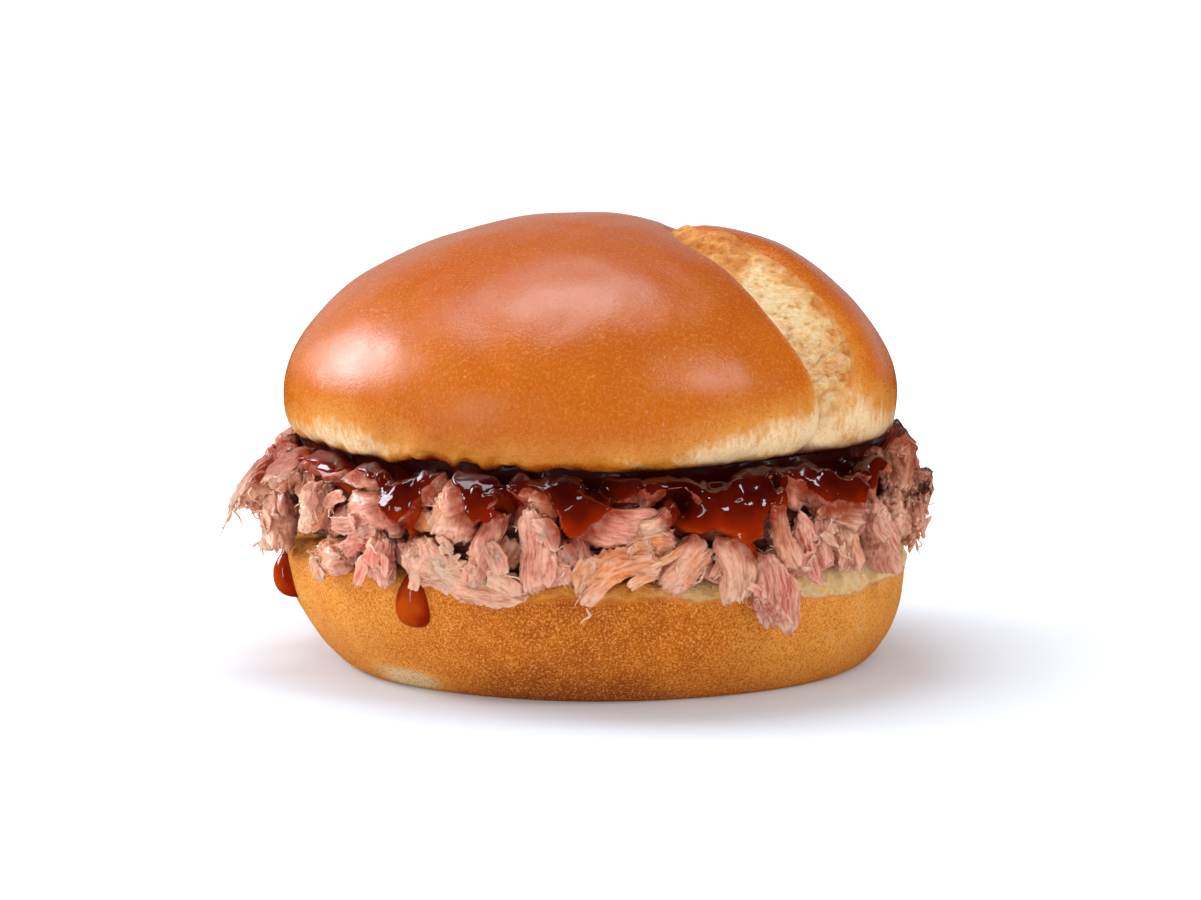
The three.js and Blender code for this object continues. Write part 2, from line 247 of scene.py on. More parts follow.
def make_piece(name, skin, material, replaced=()):
    """A smooth mesh object from a skin in mm, which rides on the sandwich and stands for the replaced nodes."""
    points, quads, triangles, values = skin
    mesh = bpy.data.meshes.new(name)
    corners = np.concatenate([quads.ravel(), triangles.ravel()]).astype(np.int32)
    starts = np.concatenate([4 * np.arange(len(quads)), 4 * len(quads) + 3 * np.arange(len(triangles))])
    mesh.vertices.add(len(points))
    mesh.vertices.foreach_set("co", (points * MM).astype(np.float32).ravel())
    mesh.loops.add(len(corners))
    mesh.loops.foreach_set("vertex_index", corners)
    mesh.polygons.add(len(starts))
    mesh.polygons.foreach_set("loop_start", starts.astype(np.int32))
    mesh.update(calc_edges=True)
    mesh.validate()
    for key, value in values.items():
        kind, field = ("FLOAT", "value") if value.ndim == 1 else ("FLOAT_VECTOR", "vector")
        mesh.attributes.new(key, kind, "POINT").data.foreach_set(field, value.astype(np.float32).ravel())
    mesh.shade_smooth()
    mesh.materials.append(material)
    piece = add_object(name, mesh)
    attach(piece, "root")
    if replaced:
        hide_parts(*replaced)


def grid_normals(grid):
    """Outward normals of stacked grids of points, (pieces, rows, around, 3), whose columns wrap round."""
    side = np.roll(grid, -1, axis=2) - np.roll(grid, 1, axis=2)
    return unit(np.cross(side, np.gradient(grid, axis=1)))


# ------------------------------------------------------------------ helpers: materials

class Nodes:
    """A node tree, built node by node."""

    def __init__(self, tree):
        self.tree = tree

    def node(self, kind, settings=None, **inputs):
        """Adds a node. Its inputs go by their names, with _ for a space, or by number: i0, i1 and so on."""
        made = self.tree.nodes.new("ShaderNode" + kind)
        for key, value in (settings or {}).items():
            setattr(made, key, value)
        for key, value in inputs.items():
            number = key[0] == "i" and key[1:].isdigit()
            self.link(value, made.inputs[int(key[1:]) if number else key.replace("_", " ")])
        return made

    def link(self, value, socket):
        """Puts a value or another node's output into a socket."""
        if isinstance(value, bpy.types.NodeSocket):
            self.tree.links.new(value, socket)
        elif value is not None:
            socket.default_value = value

    def math(self, operation, a, b):
        """One arithmetic step."""
        return self.node("Math", {"operation": operation}, i0=a, i1=b).outputs[0]


class Finish(Nodes):
    """A procedural material. Constants are set on the shader's own sockets."""

    def __init__(self, name, **constants):
        self.material = bpy.data.materials.new(name)
        self.material.use_nodes = True
        super().__init__(self.material.node_tree)
        self.shader = self.tree.nodes["Principled BSDF"]
        self.drive(**constants)

    def drive(self, **sockets):
        """Puts values, or what other nodes give, into the shader, and gives the material."""
        for socket, value in sockets.items():
            self.link(value, self.shader.inputs[socket.replace("_", " ")])
        return self.material

    def place(self, stretch=(1, 1, 1)):
        """Object coordinates in mm, divided by stretch."""
        return self.scaled(self.node("TexCoord").outputs["Object"], [1 / (MM * s) for s in stretch])

    def scaled(self, vector, shares):
        """A vector, each of its three parts times a share."""
        return self.node("VectorMath", {"operation": "MULTIPLY"}, i0=vector, i1=shares).outputs[0]

    def value(self, name):
        """A number that the mesh holds for each of its points."""
        return self.node("Attribute", {"attribute_name": name}).outputs["Fac"]

    def triple(self, name):
        """A colour, or a place, that the mesh holds for each of its points."""
        return self.node("Attribute", {"attribute_name": name}).outputs["Vector"]

    def noise(self, size, detail=2.0, rough=0.5, where=None):
        """Noise with bumps of size mm, 0 to 1 and mostly near 0.5."""
        where = where or self.place()
        made = self.node("TexNoise", Vector=where, Scale=1 / size, Detail=detail, Roughness=rough)
        return made.outputs["Fac"]

    def uneven(self, value, by, *noise):
        """A value made uneven, by this much up or down, with noise that takes the same settings."""
        return self.plus(value, self.span(self.noise(*noise), 0.3, 0.7, -by, by))

    def plus(self, a, b):
        """a and b added."""
        return self.math("ADD", a, b)

    def times(self, a, b):
        """a and b multiplied."""
        return self.math("MULTIPLY", a, b)

    def span(self, value, low, high, to_low=0.0, to_high=1.0):
        """Maps low..high to to_low..to_high, and stops at both ends."""
        return self.node("MapRange", i0=value, i1=low, i2=high, i3=to_low, i4=to_high).outputs[0]

    def mix(self, share, a, b):
        """Mixes two colours."""
        made = self.node("Mix", {"data_type": "RGBA"}, i0=share)
        for value, index in ((a, 6), (b, 7)):
            self.link(value if isinstance(value, bpy.types.NodeSocket) else (*value, 1.0), made.inputs[index])
        return made.outputs[2]

    def ramp(self, value, *stops):
        """A run of colours, each stop a place from 0 to 1 and its colour."""
        made = self.node("ValToRGB", i0=value)
        band = made.color_ramp.elements
        while len(band) < len(stops):
            band.new(0.5)
        for element, (place, colour) in zip(band, stops):
            element.position = place
            element.color = (*colour, 1.0)
        return made.outputs[0]

    def bump(self, height, depth, strength=1.0, under=None):
        """A normal for relief of depth mm, over another such normal."""
        return self.node("Bump", Strength=strength, Distance=depth * MM, Height=height, Normal=under).outputs[0]


# Base tones of the shreds, in linear light.
PALETTE = {
    "tan": (0.70, 0.27, 0.125),
    "cream": (0.88, 0.43, 0.26),
    "rose": (0.73, 0.245, 0.16),
    "pink": (0.76, 0.185, 0.13),
    "orange": (0.82, 0.25, 0.05),
    "brown": (0.48, 0.15, 0.055),
    "bark": (0.36, 0.10, 0.035),
    "edge": (1.0, 0.60, 0.43),
}


# ------------------------------------------------------------------ the roll's own shape

def dome_height(out):
    """Height of the crown's upper side at a share of its radius."""
    return CROWN_WIDEST + (CROWN_HIGH - CROWN_WIDEST) * np.sqrt(np.clip(1 - out**2, 0, 1))


def edge_height(out):
    """Height of the crown's lower side at a share of its radius: flat, then round up to the widest place."""
    across = np.clip((out * BUN_RADIUS - (BUN_RADIUS - CROWN_EDGE)) / CROWN_EDGE, 0, 1)
    return CROWN_WIDEST - CROWN_EDGE * (1 - across**2.8) ** (1 / 2.8)


def crown_normal(points):
    """Outward direction of the plain crown at each point of it."""
    x, y, z = points[..., 0], points[..., 1] / BUN_DEPTH_SHARE, points[..., 2]
    up = (z - CROWN_WIDEST) / np.where(z > CROWN_WIDEST, CROWN_HIGH - CROWN_WIDEST, CROWN_EDGE)
    steep = np.where(up > 0, up * 1.8, -np.abs(up) ** 3 * 2.5)
    flat = np.clip((np.hypot(x, y) / BUN_RADIUS - 0.5) / 0.36, 0, 1)
    side = np.where(up > -0.98, 1.0, flat)
    return unit(np.stack([side * x / BUN_RADIUS, side * y / BUN_RADIUS, steep], axis=-1))


def inside_fold(points):
    """How far a point lies inside the fold's arc, in mm seen from above: below 0 on the main lobe."""
    away = points[..., :2] - FOLD_CENTRE
    from_middle = np.hypot(points[..., 0], points[..., 1])
    low = np.clip((CROWN_WIDEST - points[..., 2]) / CROWN_EDGE, 0, 1)
    return FOLD_RADIUS - np.hypot(away[..., 0], away[..., 1]) - 2.0 * bell(from_middle - 31, 9) + 1.5 * low


def crown_unevenness(points):
    """How far the crown swells beyond its plain form."""
    angle = np.arctan2(points[..., 1], points[..., 0])
    out = np.hypot(points[..., 0], points[..., 1]) / BUN_RADIUS
    wide = out**2 * (0.4 * np.sin(2 * angle - 1.2) + 0.3 * np.sin(5 * angle + 2.6))
    full = 0.9 * bell(np.hypot(points[..., 0] + 5, points[..., 1]), 21)
    return wide + full + 0.35 * noise(points, 17, 3) + 0.16 * noise(points, 7, 4)


def lower_edge_wrinkles(points):
    """Small creases along the crown's lower edge, deepest at the front left."""
    angle = np.arctan2(points[..., 1], points[..., 0])
    at_edge = bell(points[..., 2] - 41.5, 3.0)
    folds = noise(np.stack([angle * 9, points[..., 2] / 4, 0 * angle], axis=-1), 1, 8)
    fine = noise(points, 2.2, 9)
    where = 0.5 + 1.8 * bell(np.arctan2(np.sin(angle + 2.1), np.cos(angle + 2.1)), 0.5)
    return at_edge * where * (0.55 * folds + 0.35 * fine)


PALE_EDGE = 39.8  # how high the crown's pale lower edge reaches
PALE_HIGHER = ((49, 10.5, 32), (-55, 7.0, 24))  # where it reaches higher: azimuth, how much, how widely
STICKY_LINE = 41.2  # where sauce has browned the crown's lower edge, most at an azimuth of -18


def baked(points):
    """How brown the crown's skin is: 0 at the pale lower edge, 1 on top."""
    azimuth = azimuth_of(points)
    pale = PALE_EDGE + bells(azimuth, *PALE_HIGHER) + 5.0 * smooth_step(75, 115, abs(azimuth))
    height = points[..., 2] + 1.6 * noise(points, 15, 21) + 0.8 * noise(points, 5, 22)
    sticky = bell(points[..., 2] - STICKY_LINE - 1.2 * noise(points, 4, 23), 0.7)
    sticky = sticky * (0.15 + 0.7 * bell(azimuth + 18, 26))
    return smooth_step(pale - 5, pale + 7, height) * 0.66 + 0.34 * smooth_step(52, 74, height) + sticky


def soaked(points):
    """How far sauce has soaked the crown's lower side: 1 under it, 0 on its rounded edge."""
    out = roll_radius(points) + 0.8 * noise(points, 3, 24)
    return smooth_step(54.0, 52.2, out) * smooth_step(43.0, 41.0, points[..., 2])


# How finely the main lobe is made: round it, down its dome, round its lower edge and across its underside.
MAIN_ROUND, MAIN_DOWN, MAIN_EDGE, MAIN_UNDER = 560, 132, 26, 16
LIP = 2.4  # half the width of the band that becomes the main lobe's rolled lip
LIP_ROUND = 1.8  # how far the lip rolls down
WALL_DEPTH = 6.5  # how far the wall below it goes on down


def main_lobe_skin():
    """The crown's larger lobe. It ends at the fold in a rolled lip and then dives under the second lobe."""
    angle = circle(MAIN_ROUND)
    down = np.linspace(0.012, 1, MAIN_DOWN) * math.pi / 2
    edge = np.linspace(0, 1, MAIN_EDGE + 1)[1:] * math.pi / 2
    under = np.linspace(1, 0.02, MAIN_UNDER + 1)[1:]
    out = np.concatenate([
        np.sin(down),
        1 - CROWN_EDGE / BUN_RADIUS * (1 - np.cos(edge)),
        (1 - CROWN_EDGE / BUN_RADIUS) * under,
    ])
    top = np.arange(len(out)) < MAIN_DOWN
    height = np.where(top, dome_height(out), edge_height(out))
    x = BUN_RADIUS * out[:, None] * np.cos(angle)
    y = BUN_RADIUS * out[:, None] * np.sin(angle) * BUN_DEPTH_SHARE
    points = np.stack([x, y, np.broadcast_to(height[:, None], x.shape)], axis=-1)

    normal = crown_normal(points)
    inside = inside_fold(points)
    toward = np.stack([FOLD_CENTRE[0] - x, FOLD_CENTRE[1] - y, 0 * x], axis=-1)
    toward = unit(toward - normal * np.sum(toward * normal, axis=-1, keepdims=True))

    way = np.clip((inside + LIP) / (2 * LIP), 0, 1)  # 0 where the lip starts, 1 at the foot of the wall
    turn = np.clip(way / 0.5, 0, 1) * math.pi / 2
    fall = np.clip((way - 0.5) / 0.5, 0, 1)
    sideways = np.where(way > 0, (LIP + 0.3) * np.sin(turn) - 1.3 * fall - LIP - inside, 0)
    sideways = np.where(inside > LIP, -1.0 - LIP + 0 * inside, sideways)
    torn = 0.35 * noise(points, (2.5, 2.5, 5), 30) * smooth_step(0.25, 0.6, way)
    sink = 1.2 * np.exp(np.minimum(inside, 0) / 4) + LIP_ROUND * (1 - np.cos(turn)) + WALL_DEPTH * fall
    swell = crown_unevenness(points) + lower_edge_wrinkles(points)
    moved = points + toward * (sideways + torn)[..., None] + normal * (swell - sink)[..., None]
    crumb = smooth_step(0.36, 0.5, way + 0.05 * noise(points, 1.2, 31))
    bake = baked(points) - 0.28 * smooth_step(-4, 0.5, inside) * smooth_step(72, 56, points[..., 2])
    values = {"bake": bake, "crumb": crumb, "toast": 0.35 * crumb, "soaked": soaked(points)}
    return tube(moved[::-1], {name: value[::-1] for name, value in values.items()})


SECOND_ROUND, SECOND_TOP, SECOND_LOW = 440, 150, 44  # sections, and points over and under each of them
TUCK = 5.0  # how far the second lobe runs on under the main one
KNOB = np.array((22.5, -6.0, 75.0))  # a browned knob of dough at the top of its ridge


def up_the_crown(height):
    """A height on the crown as a share, from 0 at its lowest point to 1 on top."""
    return np.clip((height - CROWN_LOW) / (CROWN_HIGH - CROWN_LOW), 0, 1)


def fold_depth(height):
    """How far the second lobe starts below the dome at the fold."""
    return 2.6 + 2.6 * np.sin(math.pi * up_the_crown(height)) ** 0.7


def ridge_distance(points):
    """How far from the fold the torn crumb ends in a ridge: close to it at the back, far from it in front."""
    front = smooth_step(3, -15, points[..., 1])
    wide = np.clip(4.5 + 0.75 * (points[..., 2] - 48), 0.8, 15.0)
    return np.minimum(wide, 3.6 + 11.4 * front)


def second_lobe_sections():
    """Closed loops across the smaller lobe, one for each way in which the fold's centre sees the crown."""
    squash = np.array([1 / BUN_RADIUS, 1 / (BUN_RADIUS * BUN_DEPTH_SHARE)])
    middle = FOLD_CENTRE * squash
    facing = math.atan2(-middle[1], -middle[0])
    widest = math.asin(1 / np.linalg.norm(middle)) - 1e-5
    t = np.linspace(-1, 1, SECOND_ROUND)
    angle = facing + widest * np.sign(t) * (1 - (1 - np.abs(t)) ** 1.5)
    sections = []
    for ray in np.stack([np.cos(angle), np.sin(angle)], axis=1):
        b = ray @ middle
        root = math.sqrt(max(b * b - middle @ middle + 1, 1e-9))
        near, far = (-b - root) * BUN_RADIUS, (-b + root) * BUN_RADIUS
        ray = ray / squash / BUN_RADIUS
        ray_length = np.linalg.norm(ray)
        start = min((FOLD_RADIUS + TUCK) / ray_length, far)
        distance = start + (near - start) * (0.5 - 0.5 * np.cos(np.linspace(0, math.pi, 500)))
        flat = FOLD_CENTRE + distance[:, None] * ray
        out = np.minimum(np.linalg.norm(flat * squash, axis=1), 1)
        top = np.column_stack([flat, dome_height(out)])
        low = np.column_stack([flat, edge_height(out)])[::-1]
        upper = spaced(top, SECOND_TOP, lambda s: 1 + 1.6 * bell(s - TUCK - 6, 9))
        lower = spaced(low, SECOND_LOW + 2, lambda s: 1 + 3 * np.exp(-s / 8))
        sections.append(np.vstack([upper, lower[1:-1]]))  # the upper line already has the lower one's ends
    return np.array(sections)


def second_lobe_skin():
    """The crown's smaller lobe, from under the main one over a torn face and a ridge to its crust."""
    points = second_lobe_sections()
    height, inside, ridge = points[..., 2], inside_fold(points), ridge_distance(points)
    off_knob = np.linalg.norm(points - KNOB, axis=-1)

    # The face slopes up out of the fold to the ridge, and the crust falls away behind it.
    slope = np.maximum(ridge, 3.5)
    crust = 1.9 * up_the_crown(height) * bell(inside - 17, 11) - 0.9 * smooth_step(26, 40, inside)
    face = -fold_depth(height) * (1 - 1.02 * np.clip(inside, -3, None) / slope)
    face = face + 0.7 * (inside / slope) * (inside < ridge)
    blend = 1.3
    mixed = -blend * np.log(np.exp(-face / blend) + np.exp(-np.minimum(crust, 30) / blend))
    shift = mixed * smooth_step(CROWN_LOW, CROWN_LOW + 4, height)

    crumb = smooth_step(1.0, -1.0, inside - ridge + 1.4 * noise(points, 5, 40) + 0.7 * noise(points, 1.6, 41))
    crumb = crumb * smooth_step(CROWN_LOW + 1, CROWN_LOW + 4, height)
    torn = 0.55 * noise(points, (3.2, 3.2, 5.5), 42) + 0.3 * noise(points, (1.1, 1.1, 2.0), 43)
    torn = torn - 0.75 * pits(points, 1.7, 44) - 0.35 * pits(points, 0.8, 45)
    torn = torn - 1.1 * pits(points * (1, 1, 0.6), 2.8, 50) * smooth_step(7, 2, inside)
    rough = 0.12 * noise(points, 1.3, 46) * bell(inside - ridge, 4)
    swell = crown_unevenness(points) + lower_edge_wrinkles(points) + torn * crumb
    swell = swell + 1.3 * bell(off_knob, 4.5) + rough
    moved = points + crown_normal(points) * (shift + swell)[..., None]

    browned = bell(off_knob, 5.0)
    bake = baked(points) * (0.55 + 0.45 * smooth_step(-1, 8, inside - ridge)) + 0.1 * noise(points, 3, 47)
    rim = smooth_step(-10.0, -0.5, inside - ridge + 2.5 * noise(points, 4.5, 48))
    toast = np.maximum(0.8 * rim, 0.85 * smooth_step(69, 75, height + 2.5 * noise(points, 5, 49)))
    toast = np.maximum(toast, 0.45 * smooth_step(70, 58, height))
    toast = np.clip(toast + 0.3 * browned, 0, 1) * smooth_step(CROWN_LOW + 3, CROWN_LOW + 12, height)
    values = {"bake": bake + 0.35 * browned, "crumb": crumb, "toast": toast, "soaked": soaked(points)}
    return tube(moved, values)


HEEL_ROUND, HEEL_SIDE, HEEL_TOP, HEEL_UNDER = 600, 88, 52, 18  # points round, and rings on each of its faces
# How high the heel's crust reaches, at azimuths all round: lower on the right, where more of the crumb shows.
CRUST_REACH = (
    (-180, 19.6), (-100, 20.4), (-60, 20.2), (-20, 19.0), (0, 18.6), (30, 18.0), (57, 16.2), (85, 16.0),
    (115, 18.0), (150, 19.0), (180, 19.6),
)


def around_heap(stops, azimuth):
    """A number given at azimuths in degrees, at those between them."""
    return np.interp((azimuth + 180) % 360 - 180, *np.transpose(stops))


def heel_side(angle, height):
    """Radius of the heel's baked side, which leans out less on the right. angle is in radians from +X."""
    lean = 0.5 + 0.5 * np.cos(angle)  # 1 on the right, 0 on the left
    up = np.clip(height / HEEL_RIM, 0, 1)
    foot = 45.4 + 4.4 * lean
    side = foot + (HEEL_RADIUS - foot) * (1 - (1 - up) ** (1.8 + 1.1 * lean))
    return side - 1.1 * np.exp(-up / 0.035)


# Where the heel is darker or lighter: azimuth, how much, how widely. It is baked more in front, and lighter at
# the right and the left as painted light where the side softboxes fall.
HEEL_BAKE_AND_LIGHT = ((-2, 0.36, 28), (55, -0.15, 30), (-58, -0.12, 24))


def heel_skin():
    """The heel: a flat underside, a baked side that leans out, a torn rim and the cut crumb."""
    angle = circle(HEEL_ROUND)
    azimuth = (np.degrees(angle) + 270) % 360 - 180
    crust_edge = around_heap(CRUST_REACH, np.degrees(angle) + 90)
    up = np.linspace(0, 1, HEEL_SIDE)[:, None] * np.minimum(crust_edge + 2.2, HEEL_RIM + 0.6)
    side = heel_side(angle, np.minimum(up, HEEL_RIM))
    inward = np.linspace(0, 1, HEEL_TOP + 1)[1:, None]
    top = HEEL_RADIUS * (1 - inward**1.25) + 0 * angle
    rise = up[-1:] + (HEEL_CRUMB - up[-1:]) * (1 - np.exp(-inward * HEEL_RADIUS / 3.4))
    under = np.linspace(0.02, 1, HEEL_UNDER)[:-1, None]
    radius = np.vstack([side[:1] * under, side, np.maximum(top, 0.4)])
    height = np.vstack([0 * under + 0 * angle, up + 0 * angle, rise + 0 * angle])
    wobble = 1 + 0.006 * np.sin(3 * angle + 1) + 0.004 * np.sin(7 * angle)
    x = radius * wobble * np.cos(angle)
    y = radius * wobble * np.sin(angle) * BUN_DEPTH_SHARE
    points = np.stack([x, y, height], axis=-1)

    row = np.arange(len(radius))[:, None]
    on_top, below = row >= HEEL_UNDER - 1 + HEEL_SIDE, row < HEEL_UNDER - 1
    rim = bell(height - up[-1:], 1.6) * ~on_top + bell((radius - HEEL_RADIUS) / 2.0, 1) * on_top
    wave = 0.8 * noise(points, (14, 14, 50), 60) + 0.35 * noise(points, (4, 4, 50), 61)
    ragged = 0.9 * noise(points, (9, 9, 50), 62) + 0.6 * noise(points, (2.5, 2.5, 4), 59)
    crumb = np.where(on_top, 1.0, smooth_step(-0.6, 0.6, height - crust_edge - ragged))
    dimples = pits(points, 1.25, 63) * 0.22
    dimples = dimples + pits(points, 2.6, 64) * 0.2 * smooth_step(0.1, 0.6, noise(points, 9, 65))
    torn = 0.7 * noise(points, 2.6, 66) + 0.4 * noise(points, 1.0, 67) - 0.7 * pits(points, 1.8, 68)
    push = np.where(below, 0, 1) * (
        crumb * torn - (1 - crumb) * dimples * smooth_step(0.5, 3, height) + 0.3 * noise(points, 6, 69)
    )
    out = level(angle)
    direction = np.where(on_top[..., None], UP + 0 * points, out[None])
    moved = points + direction * (push * smooth_step(0, 1.6, height))[..., None]
    moved[..., 2] += wave * rim

    # Darker towards the foot: browner from the baking tray, and painted shade where the side turns down to the
    # floor.
    bake = 0.53 + 0.10 * noise(points, 11, 70) + 0.08 * noise(points, 4, 71) + 0.14 * smooth_step(9, 0, height)
    pale_patch = bell(angle - math.radians(270 - 40), 0.16) * bell(height - 2.0, 2.6)
    toasted = smooth_step(26, 2, azimuth) + 0 * height
    juicy = smooth_step(0.25, 0.6, 0.5 + 0.5 * noise(points, 8, 72))
    return tube(moved, {
        "bake": np.clip(bake + bells(azimuth, *HEEL_BAKE_AND_LIGHT) - 0.9 * pale_patch, 0, 1),
        "crumb": crumb,
        "toast": toasted,
        "wet": juicy * (1 - 0.7 * bell(angle - math.radians(335), 0.5)),
    })


# ------------------------------------------------------------------ the pork

# The large shreds at the front, from left to right: azimuth, height, distance of the middle from the axis,
# length, width, thickness, how far the fibres lean up from the horizontal, and the tone.
FRONT_SHREDS = [
    (-80, 33.0, 60.5, 11.0, 6.0, 9, -60, "tan"),
    (-67, 36.5, 56.5, 9.0, 7.0, 8, 20, "brown"),
    (-73, 27.0, 57.0, 10.0, 6.0, 6, -70, "cream"),
    (-59, 37.5, 53.5, 9.0, 5.0, 7, 30, "brown"),
    (-58, 30.5, 56.5, 11.5, 5.5, 6, 50, "cream"),
    (-40, 34.0, 55.5, 17.0, 7.0, 8, 17, "rose"),
    (-44, 26.5, 56.0, 9.5, 3.5, 5, 35, "pink"),
    (-53, 24.0, 55.0, 8.5, 7.0, 8, 5, "tan"),
    (-39, 24.0, 56.5, 7.5, 7.0, 7, 90, "pink"),
    (-22, 34.0, 55.5, 11.0, 10.0, 9, 60, "tan"),
    (-28, 25.5, 55.5, 11.5, 8.0, 7, -40, "cream"),
    (-17, 27.5, 57.0, 12.5, 4.5, 5, 80, "rose"),
    (-19, 22.0, 56.0, 17.0, 6.0, 5, -6, "cream"),
    (-9, 27.5, 55.5, 15.0, 8.5, 8, 95, "rose"),
    (-8, 35.5, 54.0, 7.5, 6.0, 7, -50, "tan"),
    (3, 33.5, 54.0, 14.0, 9.0, 8, -20, "rose"),
    (-1, 25.0, 56.0, 11.5, 4.5, 5, -60, "rose"),
    (4, 24.5, 57.0, 13.5, 6.0, 6, 25, "orange"),
    (10, 33.0, 56.5, 10.5, 4.0, 5, 30, "cream"),
    (10, 28.8, 56.5, 7.0, 5.5, 6, 5, "orange"),
    (16, 25.5, 55.0, 9.5, 6.5, 7, 40, "tan"),
    (24, 34.0, 55.0, 18.0, 9.0, 8, 5, "bark"),
    (24, 25.5, 56.5, 12.0, 7.5, 7, -75, "cream"),
    (35, 30.5, 56.5, 12.5, 5.5, 7, -75, "tan"),
    (31.5, 20.0, 58.6, 13.0, 8.5, 6, -80, "pink"),
    (39.5, 26.5, 56.0, 10.0, 4.0, 6, -80, "pink"),
    (44, 26.5, 56.0, 9.0, 3.5, 6, -75, "rose"),
    (49, 26.0, 55.5, 10.5, 4.0, 6, -75, "tan"),
    (47, 34.5, 55.0, 13.0, 8.5, 8, -20, "brown"),
    (62, 26.5, 56.5, 14.5, 8.5, 7, -50, "rose"),
    (77, 32.0, 58.8, 9.0, 4.4, 5.5, 12, "bark"),
    (72, 38.4, 56.0, 12.0, 6.0, 5.5, 72, "tan"),
    (79, 27.5, 57.5, 9.0, 6.0, 5, 30, "rose"),
]
LEFT_ONES = 16  # how many of them are left of the middle
TONES = ("tan", "cream", "rose", "pink", "orange", "brown")

BACK_ROWS = ((25.0, 54.0), (30.5, 55.0), (35.8, 53.5))  # height, and distance of the middle from the axis
BACK_START, BACK_END, BACK_SHREDS_A_ROW = 81, 272, 8
BACK_TONES = ("tan", "rose", "cream", "tan", "rose", "pink", "brown", "cream")
# How finely shreds are made: rows along each, and points round it.
FRONT_FINE, BACK_FINE, ROW_FINE, SCRAP_FINE = (66, 84), (44, 58), (28, 34), (18, 22)
PORK_BOTTOM, PORK_TOP, PORK_CORE_RADIUS = HEEL_CRUMB - 1.2, 37.6, 50.5
HEAP_TOP, HEAP_GIVE = 40.4, 1.4  # where the crown begins to press shreds down, and how far they pile up over it


def back_shreds():
    """The shreds of the sides and back, in the same columns as FRONT_SHREDS."""
    draw = plain_random(7)
    step = (BACK_END - BACK_START) / BACK_SHREDS_A_ROW

    def spread(middle, half):
        return middle + half * (2 * next(draw) - 1)

    return [
        (
            spread(BACK_START + (i + 0.5 * (row % 2)) * step, 0.3 * step), spread(height, 1.2),
            spread(distance, 1.3), spread(16.5, 2.5), spread(9.8, 1.4), spread(7.5, 1.2), spread(0, 85),
            BACK_TONES[(3 * i + 5 * row) % 8],
        )
        for row, (height, distance) in enumerate(BACK_ROWS)
        for i in range(BACK_SHREDS_A_ROW)
    ]


# Small shreds, drawn evenly from ranges of the columns of FRONT_SHREDS, and how often each of the TONES comes.
# The first range is a share of a shred's own stretch of the way round.
SCRAPS = (
    ((0, 1), (22.6, 38), (51.5, 56.5), (3.5, 7.5), (2.2, 4.6), (1.4, 3.0), (-90, 90)),
    (0.3, 0.2, 0.24, 0.1, 0.06, 0.1),
)
TOP_ROW_COUNT = 40
TOP_ROW = (  # along the heap's upper rim, under the crown's edge
    ((0, 0.8), (36.6, 38.2), (52.5, 55.5), (6, 11), (3.5, 6), (3.5, 6), (-40, 40)),
    (0.34, 0.1, 0.2, 0.06, 0.1, 0.2),
)


def drawn_shreds(count, seed, ranges, chances):
    """Shreds all round the heap, in the same columns as FRONT_SHREDS."""
    rng = np.random.default_rng(seed)
    made = []
    for i in range(count):
        step, *sizes = (rng.uniform(*limits) for limits in ranges)
        made.append((360 * (i + step) / count, *sizes, TONES[rng.choice(len(TONES), p=chances)]))
    return made


def flakes(shreds, each, seed):
    """Thin torn flakes that lift off the faces of larger shreds."""
    rng = np.random.default_rng(seed)
    made = []
    for azimuth, height, distance, length, width, thick, lean, tone in shreds:
        for _ in range(each):
            along, across = rng.uniform(-0.5, 0.5) * length, rng.uniform(-0.5, 0.5) * width
            lean_rad = math.radians(lean)
            made.append((
                azimuth + math.degrees((along * math.cos(lean_rad) - across * math.sin(lean_rad)) / distance),
                height + along * math.sin(lean_rad) + across * math.cos(lean_rad),
                distance + 0.40 * thick + rng.uniform(-0.6, 0.4),
                rng.uniform(2.5, 7), rng.uniform(1.4, 3.8), rng.uniform(0.4, 0.9),
                lean + rng.uniform(-45, 45), tone,
            ))
    return [flake for flake in made if in_the_open(*flake[:2], flake[3], flake[6])]


def in_the_open(azimuth, height, length, lean):
    """Whether sauce covers neither the middle nor the ends of a flake on the heap's side."""
    tilt = math.radians(lean)
    along = np.array((-0.5, 0, 0.5)) * length
    place = HEAP_RADIUS * compass(math.radians(azimuth) + along * math.cos(tilt) / HEAP_RADIUS)
    place[:, 2] = height + along * math.sin(tilt)
    return sauce_cover(place).max() < BARE


def cut_lumps(way, rng, count):
    """What a handful of planes leave of a box, in each direction, and where its softened creases run."""
    cuts = rng.normal(size=(count, 9, 3)) * (0.8, 1.0, 1.0)
    cuts /= np.linalg.norm(cuts, axis=-1, keepdims=True) * rng.uniform(0.70, 1.0, (count, 9, 1))
    sides = np.tile(np.vstack([np.eye(3), -np.eye(3)]), (count, 1, 1))
    reach = np.maximum(np.einsum("rax,npx->nrap", way, np.concatenate([cuts, sides], axis=1)), 0)
    nearest = np.sort(reach, axis=-1)
    return np.sum(reach**13, axis=-1) ** (-1 / 13), smooth_step(0.86, 1.0, nearest[..., -2] / nearest[..., -1])


def shred_tones(names, at, pale, rng, seed):
    """Colours of shreds: each its own tone, a little uneven, pinker in places, and pale at its edges as painted
    highlight.
    """
    tone = np.array([PALETTE[name] for name in names])[:, None, None]
    tone = tone * (1 + 0.12 * rng.normal(size=(len(names), 1, 1, 1))) + 0 * at
    tone = tone * (1 + 0.22 * noise(at, (7, 3, 3), seed + 9)[..., None])
    pinker = 0.4 * smooth_step(0.55, 0.95, 0.5 + 0.5 * noise(at, 5, seed + 10))
    for share, name in ((pinker[..., None], "pink"), (pale[..., None], "edge")):
        tone = tone * (1 - share) + share * np.array(PALETTE[name])
    return tone


